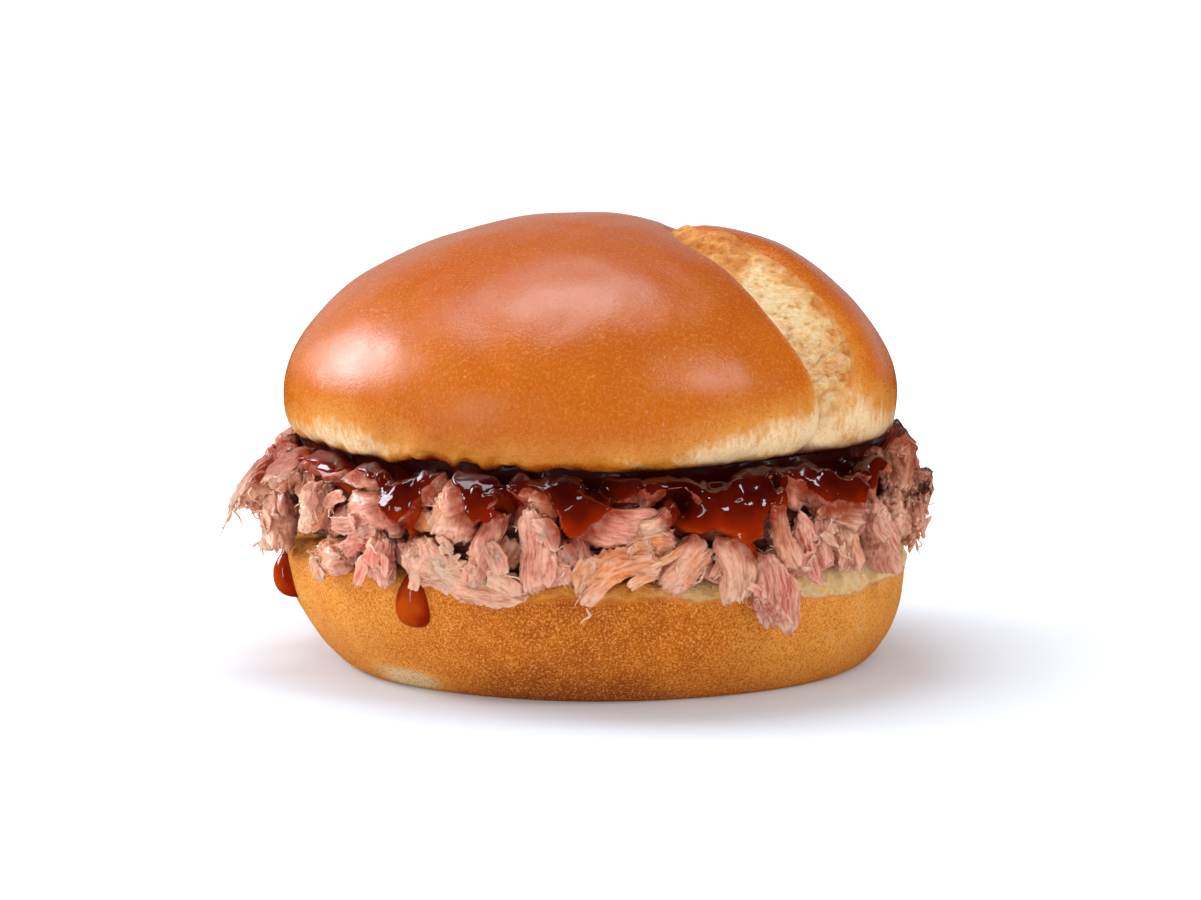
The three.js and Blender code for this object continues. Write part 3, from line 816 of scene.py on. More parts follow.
def shred_skin(shreds, fine, seed, ragged=1.0, lift=-0.05):
    """Shreds of meat in one skin: angular lumps, grained and cracked along their fibres, with frayed ends.

    ragged is how far the ends fray, and lift how far they stand off the heap, as a share of the length.
    """
    rng = np.random.default_rng(seed)
    rows, around = fine
    *columns, tones = zip(*shreds)
    azimuth, height, distance, length, width, thick, lean = np.array(columns, float)
    azimuth, lean = np.radians(azimuth), np.radians(lean)
    count = len(shreds)
    polar = np.linspace(0.03, 0.97, rows)[:, None] * math.pi
    phi = circle(around)
    round_it = np.sin(polar)
    way = np.stack([-np.cos(polar) + 0 * phi, round_it * np.cos(phi), round_it * np.sin(phi)], axis=-1)
    size, crease = cut_lumps(way, rng, count)
    half = 0.5 * np.stack([length, width, thick], axis=-1)[:, None, None]
    local = way * size[..., None] * half

    outward = compass(azimuth)
    right = level(azimuth)
    fibres = np.cos(lean)[:, None] * right + np.sin(lean)[:, None] * UP
    middle = outward * distance[:, None] + height[:, None] * UP
    basis = np.stack([fibres, np.cross(outward, fibres), outward], axis=1)

    def placed(shape):
        """The lumps, turned and set in their places on the heap."""
        return kept_clear(np.einsum("nrai,nij->nraj", shape, basis) + middle[:, None, None])

    bare = 1 - 0.85 * smooth_step(-1.0, 0.4, sauce_cover(placed(local)))  # smoother where sauce covers it
    at = local + np.array((61.0, 37.0, 83.0)) * np.arange(count)[:, None, None, None]  # each has its own grain
    share = local[..., 0] / half[..., 0]
    end = smooth_step(0.3, 0.95, np.abs(share))
    side = smooth_step(0.75, 1.0, np.abs(way[..., 1]))
    across = at * (0, 1, 1)
    fray = 1.1 * noise(across, 1.3, seed) + 0.9 * noise(across, 0.6, seed + 1)
    grains = np.abs(noise(at, (2.4, 0.9, 0.9), seed + 5))
    relief = 0.14 * noise(at, (9, 2.0, 2.0), seed + 2) + 0.24 * noise(at, (5, 0.85, 0.85), seed + 3)
    relief = relief + 0.26 * grains
    crack = bell(noise(at, (8, 2.2, 2.2), seed + 4), 0.05) * smooth_step(-0.1, 0.25, noise(at, 3.5, seed + 12))
    serrated = noise(at, (0.8, 1.1, 1.1), seed + 6)
    thin = np.clip(np.minimum(width, thick) / 5, 0.12, 1)[:, None, None]
    broad = np.clip(width / 5, 0.55, 1)[:, None, None]
    push = relief - 0.35 * crack + 0.5 * crease * serrated + 0.6 * end * grains
    push = thin * (bare * push + 0.65 * noise(at, 4.6, seed + 7))
    local = local + grid_normals(local) * push[..., None]
    torn = ragged * broad * bare
    local[..., 0] += np.sign(share) * end * fray * torn
    local[..., 1] += np.sign(way[..., 1]) * side * 0.8 * torn * noise(at * (1, 0, 0), 0.9, seed + 11)
    bend = 0.12 * np.sin(2.4 * np.arange(count))[:, None, None] * length[:, None, None]
    local[..., 1] += bend * (1 - np.minimum(share**2, 1))
    lifted = lift * rng.uniform(-0.3, 1, (count, 1, 1)) * length[:, None, None]
    local[..., 2] += 0.9 * thin * noise(at * (1, 0, 0), 6, seed + 8) + lifted * np.minimum(share**2, 1.4)

    points = placed(local)
    # Painted highlight: creases, ends and thin sides pale towards the edge tone, as edges that catch the light.
    pale = 0.75 * np.clip(0.7 * crease + 0.5 * end + 0.5 * side * (thin < 0.3), 0, 1)
    tone = shred_tones(tones, at, pale, rng, seed)
    # Painted shade: the tones darken deeper in the heap, to a third of their own near its middle.
    lit, charred = smooth_step(51.5, 57.0, roll_radius(points)), smooth_step(56.5, 60.5, roll_radius(points))
    return tubes(points, {
        "tone": np.clip(tone * (0.34 + 0.66 * lit[..., None]), 0, 1),
        "grain": at,
        # painted shade: cracks and the hollows between grains, marked to be darkened
        "groove_shade": np.clip(0.7 * crack + 0.5 * smooth_step(0.08, 0.0, grains), 0, 1),
        "bark": np.array([name == "bark" for name in tones], float)[:, None, None] * charred,
        "stain": np.maximum(smooth_step(-3.0, 0.2, sauce_cover(points)), glazed(points)),
    })


def kept_clear(points, gap=1.0):
    """Points pressed down to a gap under the crown, and to a rounded shoulder beside it."""
    radius = roll_radius(points)
    share = radius / BUN_RADIUS
    ceiling = np.where(share < 1, edge_height(np.clip(share, 0, 1)) - gap, 1000)
    piled = 3.5 * bell(azimuth_of(points) - 72, 8)
    shoulder = HEAP_TOP - gap - np.maximum(radius - 51.5, 0) ** 2 / 14 + piled
    over = np.maximum(points[..., 2] - shoulder, 0)
    low = points.copy()
    low[..., 2] = np.minimum(points[..., 2] - over + HEAP_GIVE * (1 - np.exp(-over / HEAP_GIVE)), ceiling)
    return low


THREAD_STEPS, THREAD_ROUND = 9, 5
THREAD_FLATNESS = 0.6


def thread_skin(starts, ways, lengths, thickness, curl, tone, seed):
    """Loose single fibres, each a thin tapered tube that wanders from its start."""
    index = np.arange(len(starts))[:, None]
    along = np.linspace(0, 1, THREAD_STEPS)[None, :]
    step = lengths[:, None] / (THREAD_STEPS - 1)
    where = np.stack([index * 17.3 + 0 * along, along * lengths[:, None], 0 * index * along], axis=-1)
    turn = np.stack([noise(where, 4.0, seed + i) for i in range(3)], axis=-1)
    way = unit(ways[:, None] + curl[:, None, None] * turn * (0.4 + 2.2 * along[..., None]))
    path = kept_clear(starts[:, None] + np.cumsum(way * step[..., None], axis=1))
    side = unit(np.cross(way, np.array((0.31, 0.2, 0.93))))
    other = np.cross(way, side)
    phi = circle(THREAD_ROUND)
    taper = np.sqrt(np.clip(1 - along**2.5, 0.03, 1)) * (1 + 0.5 * noise(where, 1.3, seed + 5))
    radius = (thickness[:, None] * taper)[..., None, None]
    broad = side[:, :, None] * np.cos(phi)[:, None] * radius
    thin = other[:, :, None] * np.sin(phi)[:, None] * radius * THREAD_FLATNESS
    points = path[:, :, None] + (broad + thin)
    flat = 0 * points[..., 0]
    return tubes(points, {
        "tone": tone[:, None, None] + 0 * points,
        "grain": points,
        "groove_shade": flat,
        "bark": flat,
        "stain": smooth_step(-2.0, 1.5, sauce_cover(points)) * 0.8,
    })


def loose_threads(meat, count, seed):
    """Torn fibres on the heap's outside: short hairs all over it, and long ones, most of them at its left."""
    rng = np.random.default_rng(seed)
    outside = meat[(np.hypot(meat[:, 0], meat[:, 1]) > 56.5) & (sauce_cover(meat) < BARE)]
    left = outside[(outside[:, 0] < -54) & (outside[:, 2] < 37)]
    fringe, long = count // 14, count // 10
    fringe_starts = left[rng.integers(len(left), size=fringe)]
    starts = np.vstack([fringe_starts, outside[rng.integers(len(outside), size=count)]])
    count += fringe
    outward = unit(starts * (1, 1, 0))
    right = np.stack([-outward[:, 1], outward[:, 0], 0 * outward[:, 0]], axis=-1)
    lean = rng.uniform(0, TURN, (count, 1))
    way = right * np.cos(lean) + UP * np.sin(lean) * 0.9 + outward * rng.uniform(-0.2, 0.6, (count, 1))
    way[:fringe] += outward[:fringe] * 0.5 - UP * rng.uniform(0.1, 1, (fringe, 1))
    way = unit(way)
    shades = ("edge", "cream", "tan", "rose")
    tone = np.array([PALETTE[shades[i]] for i in rng.choice(4, count, p=(0.4, 0.3, 0.15, 0.15))])
    length = np.where(np.arange(count) < fringe + long, rng.uniform(2, 5, count), rng.uniform(0.8, 2.2, count))
    thick = 0.07 + 0.05 * length * rng.uniform(0.6, 1.4, count)
    curl = rng.uniform(0.8, 2.4, count)
    clear = sauce_cover(starts + way * length[:, None]) < BARE
    rooted = starts - 0.4 * outward
    return thread_skin(*(column[clear] for column in (rooted, way, length, thick, curl, tone)), seed)


CORE_ROUND, CORE_LINE = 420, 90


def pork_core_skin():
    """The middle of the heap, seen only in the gaps between shreds, and painted near black as their shade."""
    angle = circle(CORE_ROUND)
    wide = PORK_CORE_RADIUS
    outline = np.array([  # distance from the axis, height
        (0.5, PORK_BOTTOM), (wide - 3, PORK_BOTTOM), (wide, PORK_BOTTOM + 2), (wide + 1, 30),
        (wide, PORK_TOP - 2), (wide - 3, PORK_TOP), (0.5, PORK_TOP),
    ])
    outline = np.column_stack([outline, 0 * outline[:, 0]])
    line = spaced(outline, CORE_LINE, lambda s: np.where(abs(s - 58) < 16, 4.0, 1.0))  # closest on its side
    radius, height = line[:, :1] + 0 * angle, line[:, 1:2] + 0 * angle
    points = np.stack([radius * np.cos(angle), radius * np.sin(angle), height], axis=-1)
    lumps = 1.5 * noise(points, (5, 5, 3.4), 80) + 0.7 * np.abs(noise(points, (3.5, 3.5, 1.2), 81))
    side = smooth_step(PORK_CORE_RADIUS - 8, PORK_CORE_RADIUS - 1, radius)
    out = level(angle)
    points = points + out * (side * lumps)[..., None]
    points[..., 2] += (1 - side) * 0.5 * lumps * smooth_step(30, 31, points[..., 2])
    flat = 0 * points[..., 0]
    return tube(kept_clear(points), {
        # painted shade: the middle is darkened to a fifth of brown, and its grooves half way
        "tone": np.array(PALETTE["brown"]) * 0.22 + 0 * points,
        "grain": points * (0.4, 0.4, 1),
        "groove_shade": flat + 0.5,
        "bark": flat,
        "stain": smooth_step(-4, 1.0, sauce_cover(points)),
    })


# ------------------------------------------------------------------ the sauce

# How far down sauce hangs on the heap, as a height at azimuths all round: in tongues between bare meat.
SAUCE_EDGE = (
    (-180, 36.0), (-174, 33.0), (-169, 29.6), (-164, 30.4), (-158, 35.4), (-150, 37.2), (-143, 34.0),
    (-137, 31.4), (-132, 28.0), (-128, 27.6), (-123, 33.6), (-116, 37.4), (-108, 37.2), (-101, 41.0),
    (-95, 40.0), (-91, 37.0), (-87, 37.2), (-84, 41.0), (-77, 41.0), (-70, 40.6), (-65, 38.0), (-58, 37.0),
    (-52, 36.6), (-46, 38.2), (-40, 37.2), (-36.5, 32.6), (-34.5, 29.6), (-33, 26.8), (-31.5, 30.0),
    (-30, 36.0), (-27, 39.4), (-24, 37.6), (-21.5, 34.0), (-19, 31.4), (-16, 32.6), (-13, 35.0),
    (-10.5, 37.8), (-8, 37.9), (-6.5, 33.0), (-4.5, 29.4), (-2, 29.4), (1, 32.4), (4.5, 34.8), (8, 36.6),
    (11, 36.4), (13, 31.8), (16, 30.0), (20, 29.8), (24, 29.4), (26, 27.4), (28, 26.0), (30, 29.4),
    (32, 35.0), (33.5, 32.4), (34.8, 31.0), (36.2, 34.0), (38.5, 38.6), (41, 34.4), (45, 32.8), (52, 32.4),
    (58, 33.2), (63, 36.0), (67, 41.0), (90, 41.0), (97, 40.0), (102, 33.0), (105, 31.4), (109, 34.4),
    (114, 37.2), (122, 34.6), (129, 31.6), (135, 31.4), (141, 36.0), (149, 37.6), (156, 32.0), (160, 26.8),
    (164, 31.0), (171, 37.0), (180, 36.0),
)
# Drops that ran down the heel: azimuth, height, half height, half width.
DROPS = ((-33, 17.9, 5.3, 3.2), (-77, 16.5, 4.4, 2.7), (160, 17.0, 5.2, 3.0), (231, 17.5, 4.2, 2.5))


BARE = -0.5  # what sauce_cover gives where meat is surely bare


def sauce_cover(points):
    """How far inside the sauce's edge a point on the heap lies, in mm; below 0 outside it."""
    azimuth = azimuth_of(points)
    before, here, after = (around_heap(SAUCE_EDGE, azimuth + turn) for turn in (-1, 0, 1))
    slope = (after - before) / (2 * math.radians(1) * HEAP_RADIUS)
    cover = (points[..., 2] - (before + here + after) / 3) / np.sqrt(1 + slope**2)
    return np.minimum(cover, 4) + 0.7 * noise(points, 5, 90) + 0.6 * noise(points, 2.4, 91)


def glazed(points):
    """How much brown glaze the meat has taken up: most at the heap's two ends, elsewhere in patches."""
    ends = bells(azimuth_of(points), (-78, 1, 22), (82, 1, 18))
    ends = ends * smooth_step(31, 36, points[..., 2] + 3 * noise(points, 5, 97))
    patches = smooth_step(0.0, 0.45, noise(points, 8, 98)) * smooth_step(24, 32, points[..., 2])
    return np.maximum(ends, 0.65 * patches)


SAUCE_ROUND, SAUCE_DOWN, SAUCE_INNER = 900, 92, 10  # points round, and rows down its outer and its inner side
SAUCE_FAN = (104, -38)  # how steeply the first and the last row look up, in degrees
SAUCE_EYE_RADIUS, SAUCE_EYE_HEIGHT = 47.0, 30.5  # the ring that the sauce's rows are fanned round
SAUCE_BRIM = 43.0  # how high it is pressed up round the crown's lower edge
SAUCE_HIDDEN = 1.5  # how far out its skin runs where there is no sauce, deep in the heap
RAY_START, REACH_OF_GAPS = 34.0, 5.0  # where rays that feel for the meat start, and what they give if they miss
# Where sauce clings close to the meat: azimuth in degrees from 0 to 360, how much, and the width in radians.
LEFT_CLING = (298, 1, 0.25)
CLING = ((29, 1, 0.30), (52, 1, 0.18), LEFT_CLING)


def blurred(field, across, down):
    """A field blurred by a few columns, which wrap round, and rows."""
    for _ in range(3):
        field = sum(np.roll(field, k, axis=0) for k in range(-across, across + 1)) / (2 * across + 1)
        padded = np.pad(field, ((0, 0), (down, down)), mode="edge")
        field = sum(padded[:, k : k + field.shape[1]] for k in range(2 * down + 1)) / (2 * down + 1)
    return field


def heap_tree():
    """The pork's shreds in millimetres, as something that a ray can hit."""
    points, faces = [], []
    for name in ("core", "shreds_left", "shreds_right", "shreds_back", "top_row", "scraps", "flakes"):
        name = "pork_" + name
        mesh = bpy.data.objects[name].data
        place = np.empty(3 * len(mesh.vertices), np.float32)
        mesh.vertices.foreach_get("co", place)
        first = len(points)
        points.extend((place.reshape(-1, 3) / MM).tolist())
        faces.extend([[first + v for v in face.vertices] for face in mesh.polygons])
    return BVHTree.FromPolygons(points, faces)


def heap_reach(heap, eye, way):
    """How far the heap reaches from each place in eye along its way, found by rays that come back inward."""
    reach = np.full(way.shape[:2], REACH_OF_GAPS)
    for cell in np.ndindex(reach.shape):
        gone = heap.ray_cast(eye[cell] + way[cell] * RAY_START, -way[cell], RAY_START)[3]
        if gone is not None:
            reach[cell] = RAY_START - gone
    return reach


def clinging(azimuth, *places):
    """How closely sauce clings to the meat, at azimuths in radians."""
    return sum(share * bell(azimuth - math.radians(middle), width) for middle, share, width in places)[:, None]


def sauce_skin(heap, peak):
    """Sauce laid over the heap: thick in its hollows, thin over its peaks, rounded at its lower edge.

    heap is what rays can hit, and peak how thick the sauce is on the highest places.
    """
    azimuth = circle(SAUCE_ROUND)
    tilt = np.radians(np.linspace(*SAUCE_FAN, SAUCE_DOWN))
    outward = compass(azimuth)[:, None]
    way = outward * np.cos(tilt)[None, :, None] + np.sin(tilt)[None, :, None] * UP
    eye = outward * SAUCE_EYE_RADIUS + SAUCE_EYE_HEIGHT * UP + 0 * way
    depth = heap_reach(heap, eye, way)

    # The sauce's own surface, as far out from the eye: level over hollows, and pressed up round the crown.
    level = blurred(depth, 3, 3)
    wet = np.maximum(level + peak, blurred(np.maximum(depth, level), 2, 2) + 0.5)
    brim = (SAUCE_BRIM - SAUCE_EYE_HEIGHT) / np.maximum(np.sin(tilt), 0.05) + 0 * depth
    brim_radius = SAUCE_EYE_RADIUS + brim * np.cos(tilt) + 1.4 * noise(eye, (6, 6, 6), 92)
    under_crown = smooth_step(53.6, 51.4, brim_radius)
    wet = np.maximum(wet, wet + (brim - wet) * under_crown)
    laid = eye + way * depth[..., None]
    cover = np.maximum(sauce_cover(laid), 4 * under_crown - 1)
    wet = wet + 0.45 * bell(cover - 1.6, 1.3) * smooth_step(36, 33, laid[..., 2]) + 0.5 * noise(laid, 4.5, 94)
    wet = wet + (blurred(depth, 1, 1) + 0.5 - wet) * 0.9 * clinging(azimuth, *CLING) * (1 - under_crown)
    wet = np.maximum(blurred(np.maximum(wet, depth + peak), 1, 1), depth + 0.22)
    profile = np.sqrt(np.clip(cover / 0.8, 0, 1))
    surface = SAUCE_HIDDEN + (wet - SAUCE_HIDDEN) * profile

    near_crown = smooth_step(29.5, 38.5, laid[..., 2] + 1.5 * noise(laid, 6, 93))
    outer = kept_clear(eye + way * surface[..., None], -0.3)
    ripples = np.maximum(1.6 * noise(outer, 3.4, 95) + 0.5 * noise(outer, 1.6, 96), 0)
    outer[..., 2] += ripples * smooth_step(53, 55.5, roll_radius(outer)) * near_crown * profile
    inner_rows = np.round(np.linspace(1, 0, SAUCE_INNER) * (SAUCE_DOWN - 1)).astype(int)
    inner = eye[:, inner_rows] + way[:, inner_rows] * (SAUCE_HIDDEN - 1.0)
    grid = np.concatenate([outer, inner], axis=1)

    film = np.maximum(0.5 * blurred(surface - depth, 1, 1) + 0.5 * blurred(surface - depth, 4, 4), 0)
    # Darker towards the crown: the sauce pools thicker there, and painted shade under the crown's overhang.
    deep = 0.16 + 0.34 * film + 0.72 * near_crown * (1 - 0.6 * clinging(azimuth, LEFT_CLING))
    thick = np.pad(smooth_step(-0.2, 1.3, cover) * deep, ((0, 0), (0, SAUCE_INNER)), constant_values=1.0)
    values = {"thick": thick.ravel(), "dull": smooth_step(38.6, 39.9, grid[..., 2]).ravel()}
    quads = grid_faces(*grid.shape[:2], wrap_rows=True)[:, ::-1]
    return grid.reshape(-1, 3), quads, np.zeros((0, 3), int), values


DROP_LINE, DROP_ROUND = 70, 56


def drop_skin(azimuth, height, half_height, half_width, thickness):
    """A drop that has run down the heel: pointed above, full below."""
    down = np.linspace(0.01, 0.99, DROP_LINE)[:, None] * math.pi
    phi = circle(DROP_ROUND)
    up = -np.cos(down)
    full = np.sin(down) * (1 - 0.40 * up - 0.36 * up**3)
    side = half_width * full * np.cos(phi) * 1.02
    proud = 0.62 * thickness * full * np.sin(phi)
    proud = np.where(proud < 0, 0.5 * proud, proud)
    z = height + half_height * up + 0 * phi
    a = math.radians(azimuth) + side / HEEL_RADIUS
    radius = heel_side(a - math.pi / 2, np.clip(z, 0, HEEL_RIM)) - 0.4 + proud
    points = np.stack([radius * np.sin(a), -radius * np.cos(a) * BUN_DEPTH_SHARE, z], axis=-1)
    # Painted light and shade: thinnest, so lightest, where the drop stands proudest, as if light glowed through
    # it, and darkest at its rim.
    depth = 0.42 - 0.34 * np.clip(proud / thickness, 0, 1) / 0.62
    return tube(points, {"thick": depth, "dull": 0 * depth})


# ------------------------------------------------------------------ finishes

def crust_finish(look):
    """The crown's satin crust, pale at its lower edge, and the torn crumb in its fold."""
    f = Finish("TopCrust", Subsurface_Weight=0.06, Subsurface_Scale=0.0015, Subsurface_Radius=(1.0, 0.4, 0.1))
    crumb, bake = f.value("crumb"), f.value("bake")
    mottle = f.uneven(bake, 0.09, 9, 3)
    streaks = f.noise(0.9, 4, 0.6, where=f.place((1, 1, 2.4)))
    low = f.span(bake, 0.05, 0.7, 1, 0)
    mottle = f.plus(mottle, f.times(f.span(streaks, 0.3, 0.7, -0.14, 0.14), low))
    skin = f.ramp(
        mottle, (0.0, look.pale_crust), (0.26, look.golden_crust), (0.62, look.amber_crust),
        (1.0, look.brown_crust),
    )
    grain = f.noise(0.5, 3, 0.7)
    speck = f.span(f.noise(0.65, 2, 0.7), 0.62, 0.70)
    skin = f.mix(f.span(grain, 0.50, 0.66, 0, 0.28), skin, look.golden_crust)
    skin = f.mix(f.span(grain, 0.48, 0.32, 0, 0.45), skin, look.brown_crust)
    skin = f.mix(f.times(speck, 0.19), skin, look.pale_crust)
    tears = f.noise(1.5, 5, 0.72, where=f.place((1.5, 1.5, 0.8)))
    soft = f.mix(f.span(tears, 0.36, 0.54), look.crumb_shadow, look.crumb)
    soft = f.mix(f.span(tears, 0.42, 0.32, 0, 0.6), soft, look.golden_crust)
    toast = f.uneven(f.value("toast"), 0.35, 2.6, 4, 0.7)
    soft = f.mix(f.span(toast, 0.2, 0.8, 0, 0.85), soft, look.golden_crust)
    soft = f.mix(f.span(toast, 0.75, 1.2, 0, 0.8), soft, look.amber_crust)
    colour = f.mix(f.value("soaked"), f.mix(crumb, skin, soft), look.sauce_maroon)
    rough = f.span(crumb, 0, 1, 0.20, 0.85)
    rough = f.plus(rough, f.span(grain, 0.36, 0.64, -0.09, 0.12))
    rough = f.plus(rough, f.times(low, 0.22))
    peel = f.bump(grain, 0.085)
    dimples = f.bump(f.noise(2.4, 2), 0.07, 1.0, peel)
    pores = f.bump(tears, 0.65, crumb, f.bump(f.noise(0.5, 4, 0.7), 0.25, crumb, dimples))
    return f.drive(Base_Color=colour, Roughness=rough, Normal=pores)


def heel_finish(look):
    """The heel's matt side, golden with fine pale speckle, and its yellow crumb."""
    f = Finish(
        "HeelCrust", Subsurface_Weight=0.05, Subsurface_Scale=0.0015, Subsurface_Radius=(1.0, 0.4, 0.1),
        Specular_IOR_Level=0.12,
    )
    crumb, bake = f.value("crumb"), f.value("bake")
    mottle = f.uneven(bake, 0.07, 7, 3)
    skin = f.ramp(
        mottle, (0.0, look.pale_crust), (0.35, look.heel_light), (0.75, look.heel_gold), (1.0, look.heel_brown)
    )
    grain = f.noise(0.40, 3, 0.75)
    skin = f.mix(f.span(grain, 0.51, 0.62, 0, 0.7), skin, look.heel_speck)
    skin = f.mix(f.span(grain, 0.48, 0.37, 0, 0.75), skin, look.heel_brown)
    tears = f.noise(1.6, 4, 0.7)
    soft = f.mix(f.span(tears, 0.36, 0.56), look.crumb_shadow, look.crumb)
    soft = f.mix(f.times(f.value("wet"), 0.55), soft, look.wet_crumb)
    toast = f.uneven(f.value("toast"), 0.3, 2.6, 4, 0.7)
    soft = f.mix(f.span(toast, 0.2, 0.8, 0, 0.9), soft, look.heel_light)
    colour = f.mix(crumb, skin, soft)
    line = f.times(f.span(crumb, 0.05, 0.45), f.span(crumb, 0.95, 0.55))
    colour = f.mix(f.times(line, 0.5), colour, look.heel_gold)
    pores = f.bump(tears, 0.7, crumb, f.bump(grain, 0.26))
    return f.drive(Base_Color=colour, Roughness=f.span(f.noise(1.5, 2), 0.3, 0.7, 0.5, 0.7), Normal=pores)


def pork_finish(look):
    """Moist shredded meat: streaked along its fibres, darker in its grooves as painted shade, and darker where
    sauce has soaked in.
    """
    f = Finish(
        "PulledPork", Subsurface_Weight=0.40, Subsurface_Scale=0.002, Subsurface_Radius=(1.0, 0.35, 0.2),
        Specular_IOR_Level=0.12, Coat_Weight=0.45, Coat_Roughness=0.08,
    )
    grain = f.triple("grain")
    along = f.scaled(grain, (0.16, 1.0, 1.0))  # drawn out along the fibres
    streak = f.noise(0.55, 4, 0.65, where=along)
    fine = f.noise(0.26, 2, 0.6, where=along)
    # Fibre streaks: the meat's grain, lightened as painted highlight on fibres and darkened as painted shade
    # between them.
    colour = f.mix(f.span(streak, 0.42, 0.60, 0.0, 0.55), f.triple("tone"), look.pork_cream)
    colour = f.mix(f.span(streak, 0.47, 0.32, 0.0, 0.46), colour, look.pork_shadow)
    # Painted shade: grooves and cracks darkened towards the deep pork colour.
    colour = f.mix(f.times(f.value("groove_shade"), 0.55), colour, look.pork_shadow)
    colour = f.mix(f.span(f.noise(3.4, 3, 0.6), 0.55, 0.72, 0, 0.28), colour, look.pork_pink)
    soak = f.times(f.value("stain"), f.span(f.noise(2.2, 3, 0.6), 0.3, 0.58, 0.55, 1.0))
    colour = f.mix(soak, colour, f.mix(0.40, look.sauce_red, look.pork_shadow))
    crisp = f.times(f.value("bark"), f.span(f.noise(3.0, 4, 0.65), 0.42, 0.56))
    colour = f.mix(crisp, colour, f.ramp(f.noise(1.4, 4, 0.7), (0.35, look.bark_black), (0.6, look.bark_brown)))
    rough = f.span(f.noise(1.4, 3), 0.35, 0.65, 0.22, 0.50)
    rough = f.math("SUBTRACT", rough, f.times(soak, 0.12))
    fibres = f.bump(streak, 0.16)
    grains = f.bump(f.noise(0.6, 3, 0.65), 0.16, 1.0, fibres)
    return f.drive(Base_Color=colour, Roughness=rough, Normal=f.bump(fine, 0.08, 1.0, grains))


def sauce_finish(look):
    """Glossy barbecue sauce: near black where it is deep, red and then amber where it thins out."""
    f = Finish(
        "BarbecueSauce", Subsurface_Weight=0.05, Subsurface_Scale=0.001, Subsurface_Radius=(1.0, 0.12, 0.03),
        Specular_IOR_Level=0.5,
    )
    thick = f.uneven(f.value("thick"), 0.12, 4.5, 3)
    share = f.math("DIVIDE", thick, 1.6)
    colour = f.ramp(
        share, (0.03, look.sauce_amber), (0.15, look.sauce_red), (0.40, look.sauce_maroon),
        (0.72, look.sauce_black),
    )
    speck = f.span(f.noise(0.5, 2, 0.7), 0.68, 0.74)
    colour = f.mix(f.times(speck, 0.5), colour, look.bark_black)
    wavy = f.bump(f.noise(2.6, 2), 0.10)
    return f.drive(Base_Color=colour, Roughness=f.span(f.value("dull"), 0, 1, 0.07, 0.38), Normal=wavy)


# ------------------------------------------------------------------ the stage

FLOOR_HALF = 3.0
CAMERA_AIM = Vector((0.0016, 0, 0.03655))
SENSOR_WIDTH = 36
SOFTBOX_AIM = Vector((0, 0, 0.04))
SOFTBOX_TINT = (0.82, 0.91, 1.0)
# Name, place in metres, width, height, and brightness beside that of the room.
SOFTBOXES = (
    ("overhead", (-0.09, 0.16, 0.66), 0.46, 0.26, 5.8),
    ("left", (-0.52, 0.17, 0.33), 0.30, 0.28, 12.5),
    ("right", (0.41, -0.30, 0.45), 0.13, 0.18, 13.0),
    ("front_strip", (-0.42, -0.45, 0.16), 0.05, 0.30, 8.0),
    ("behind", (0.0, 0.80, 0.24), 1.7, 0.40, 0.45),
)
ROOM_TINT = (1, 0.97, 0.93, 1)
# The room's light: its strength all round, what it gains towards +X, +Y and +Z, and its least.
ROOM_LIFT, ROOM_SLOPE, ROOM_LEAST = 0.48, (-0.03, -0.15, 0.28), 0.02


def floor_finish(stage):
    """White paper, lit from below away from the sandwich so that only its shadow shows."""
    f = Finish("Paper", Base_Color=(0.60, 0.62, 0.67, 1), Roughness=0.9, Emission_Color=(1, 1, 1, 1))
    away = f.node("VectorMath", {"operation": "LENGTH"}, i0=f.place()).outputs["Value"]
    return f.drive(Emission_Strength=f.span(away, 60, 150, stage.floor_shade, stage.floor_glow))


def add_floor(stage):
    """The white floor. Only the softboxes show in the gloss, as if black cards stood round the sandwich."""
    mesh = bpy.data.meshes.new("floor")
    corners = [(x * FLOOR_HALF, y * FLOOR_HALF, 0) for x, y in ((-1, -1), (1, -1), (1, 1), (-1, 1))]
    mesh.from_pydata(corners, [], [(0, 1, 2, 3)])
    mesh.materials.append(floor_finish(stage))
    floor = add_object("floor", mesh)
    floor.visible_glossy = False


def add_camera(stage):
    """The camera, in front of the sandwich and a little above it."""
    data = bpy.data.cameras.new("camera")
    data.lens, data.sensor_width = stage.lens, SENSOR_WIDTH
    back = Vector((0, -math.cos(stage.elevation), math.sin(stage.elevation)))
    bpy.context.scene.camera = add_object("camera", data, CAMERA_AIM + stage.distance * back, back)


def add_softbox(name, place, width, height, brightness):
    """A rectangular light that points at the sandwich."""
    light = bpy.data.lights.new(name, "AREA")
    light.shape = "RECTANGLE"
    light.size, light.size_y = width, height
    light.energy = math.pi * brightness * width * height
    light.color = SOFTBOX_TINT
    add_object(name, light, place, Vector(place) - SOFTBOX_AIM).visible_camera = False


def studio_room(strength):
    """A world that lights the sandwich from all round, but isn't seen in its gloss."""
    world = bpy.data.worlds.new("studio_room")
    world.use_nodes = True
    sky = Nodes(world.node_tree)
    background = world.node_tree.nodes["Background"]
    direction = sky.node("TexCoord").outputs["Generated"]
    slope = [strength * part for part in ROOM_SLOPE]
    added = sky.node("VectorMath", {"operation": "DOT_PRODUCT"}, i0=direction, i1=slope).outputs["Value"]
    light = sky.math("MAXIMUM", sky.math("ADD", added, ROOM_LIFT * strength), ROOM_LEAST)
    sky.link(light, background.inputs["Strength"])
    sky.link(ROOM_TINT, background.inputs["Color"])
    world.cycles_visibility.glossy = False
    return world


# ------------------------------------------------------------------ what a user can change

def colour_property(name, description, default):
    """A colour, in linear light."""
    return FloatVectorProperty(
        name=name, description=description, subtype="COLOR", size=3, min=0, max=1, default=default
    )


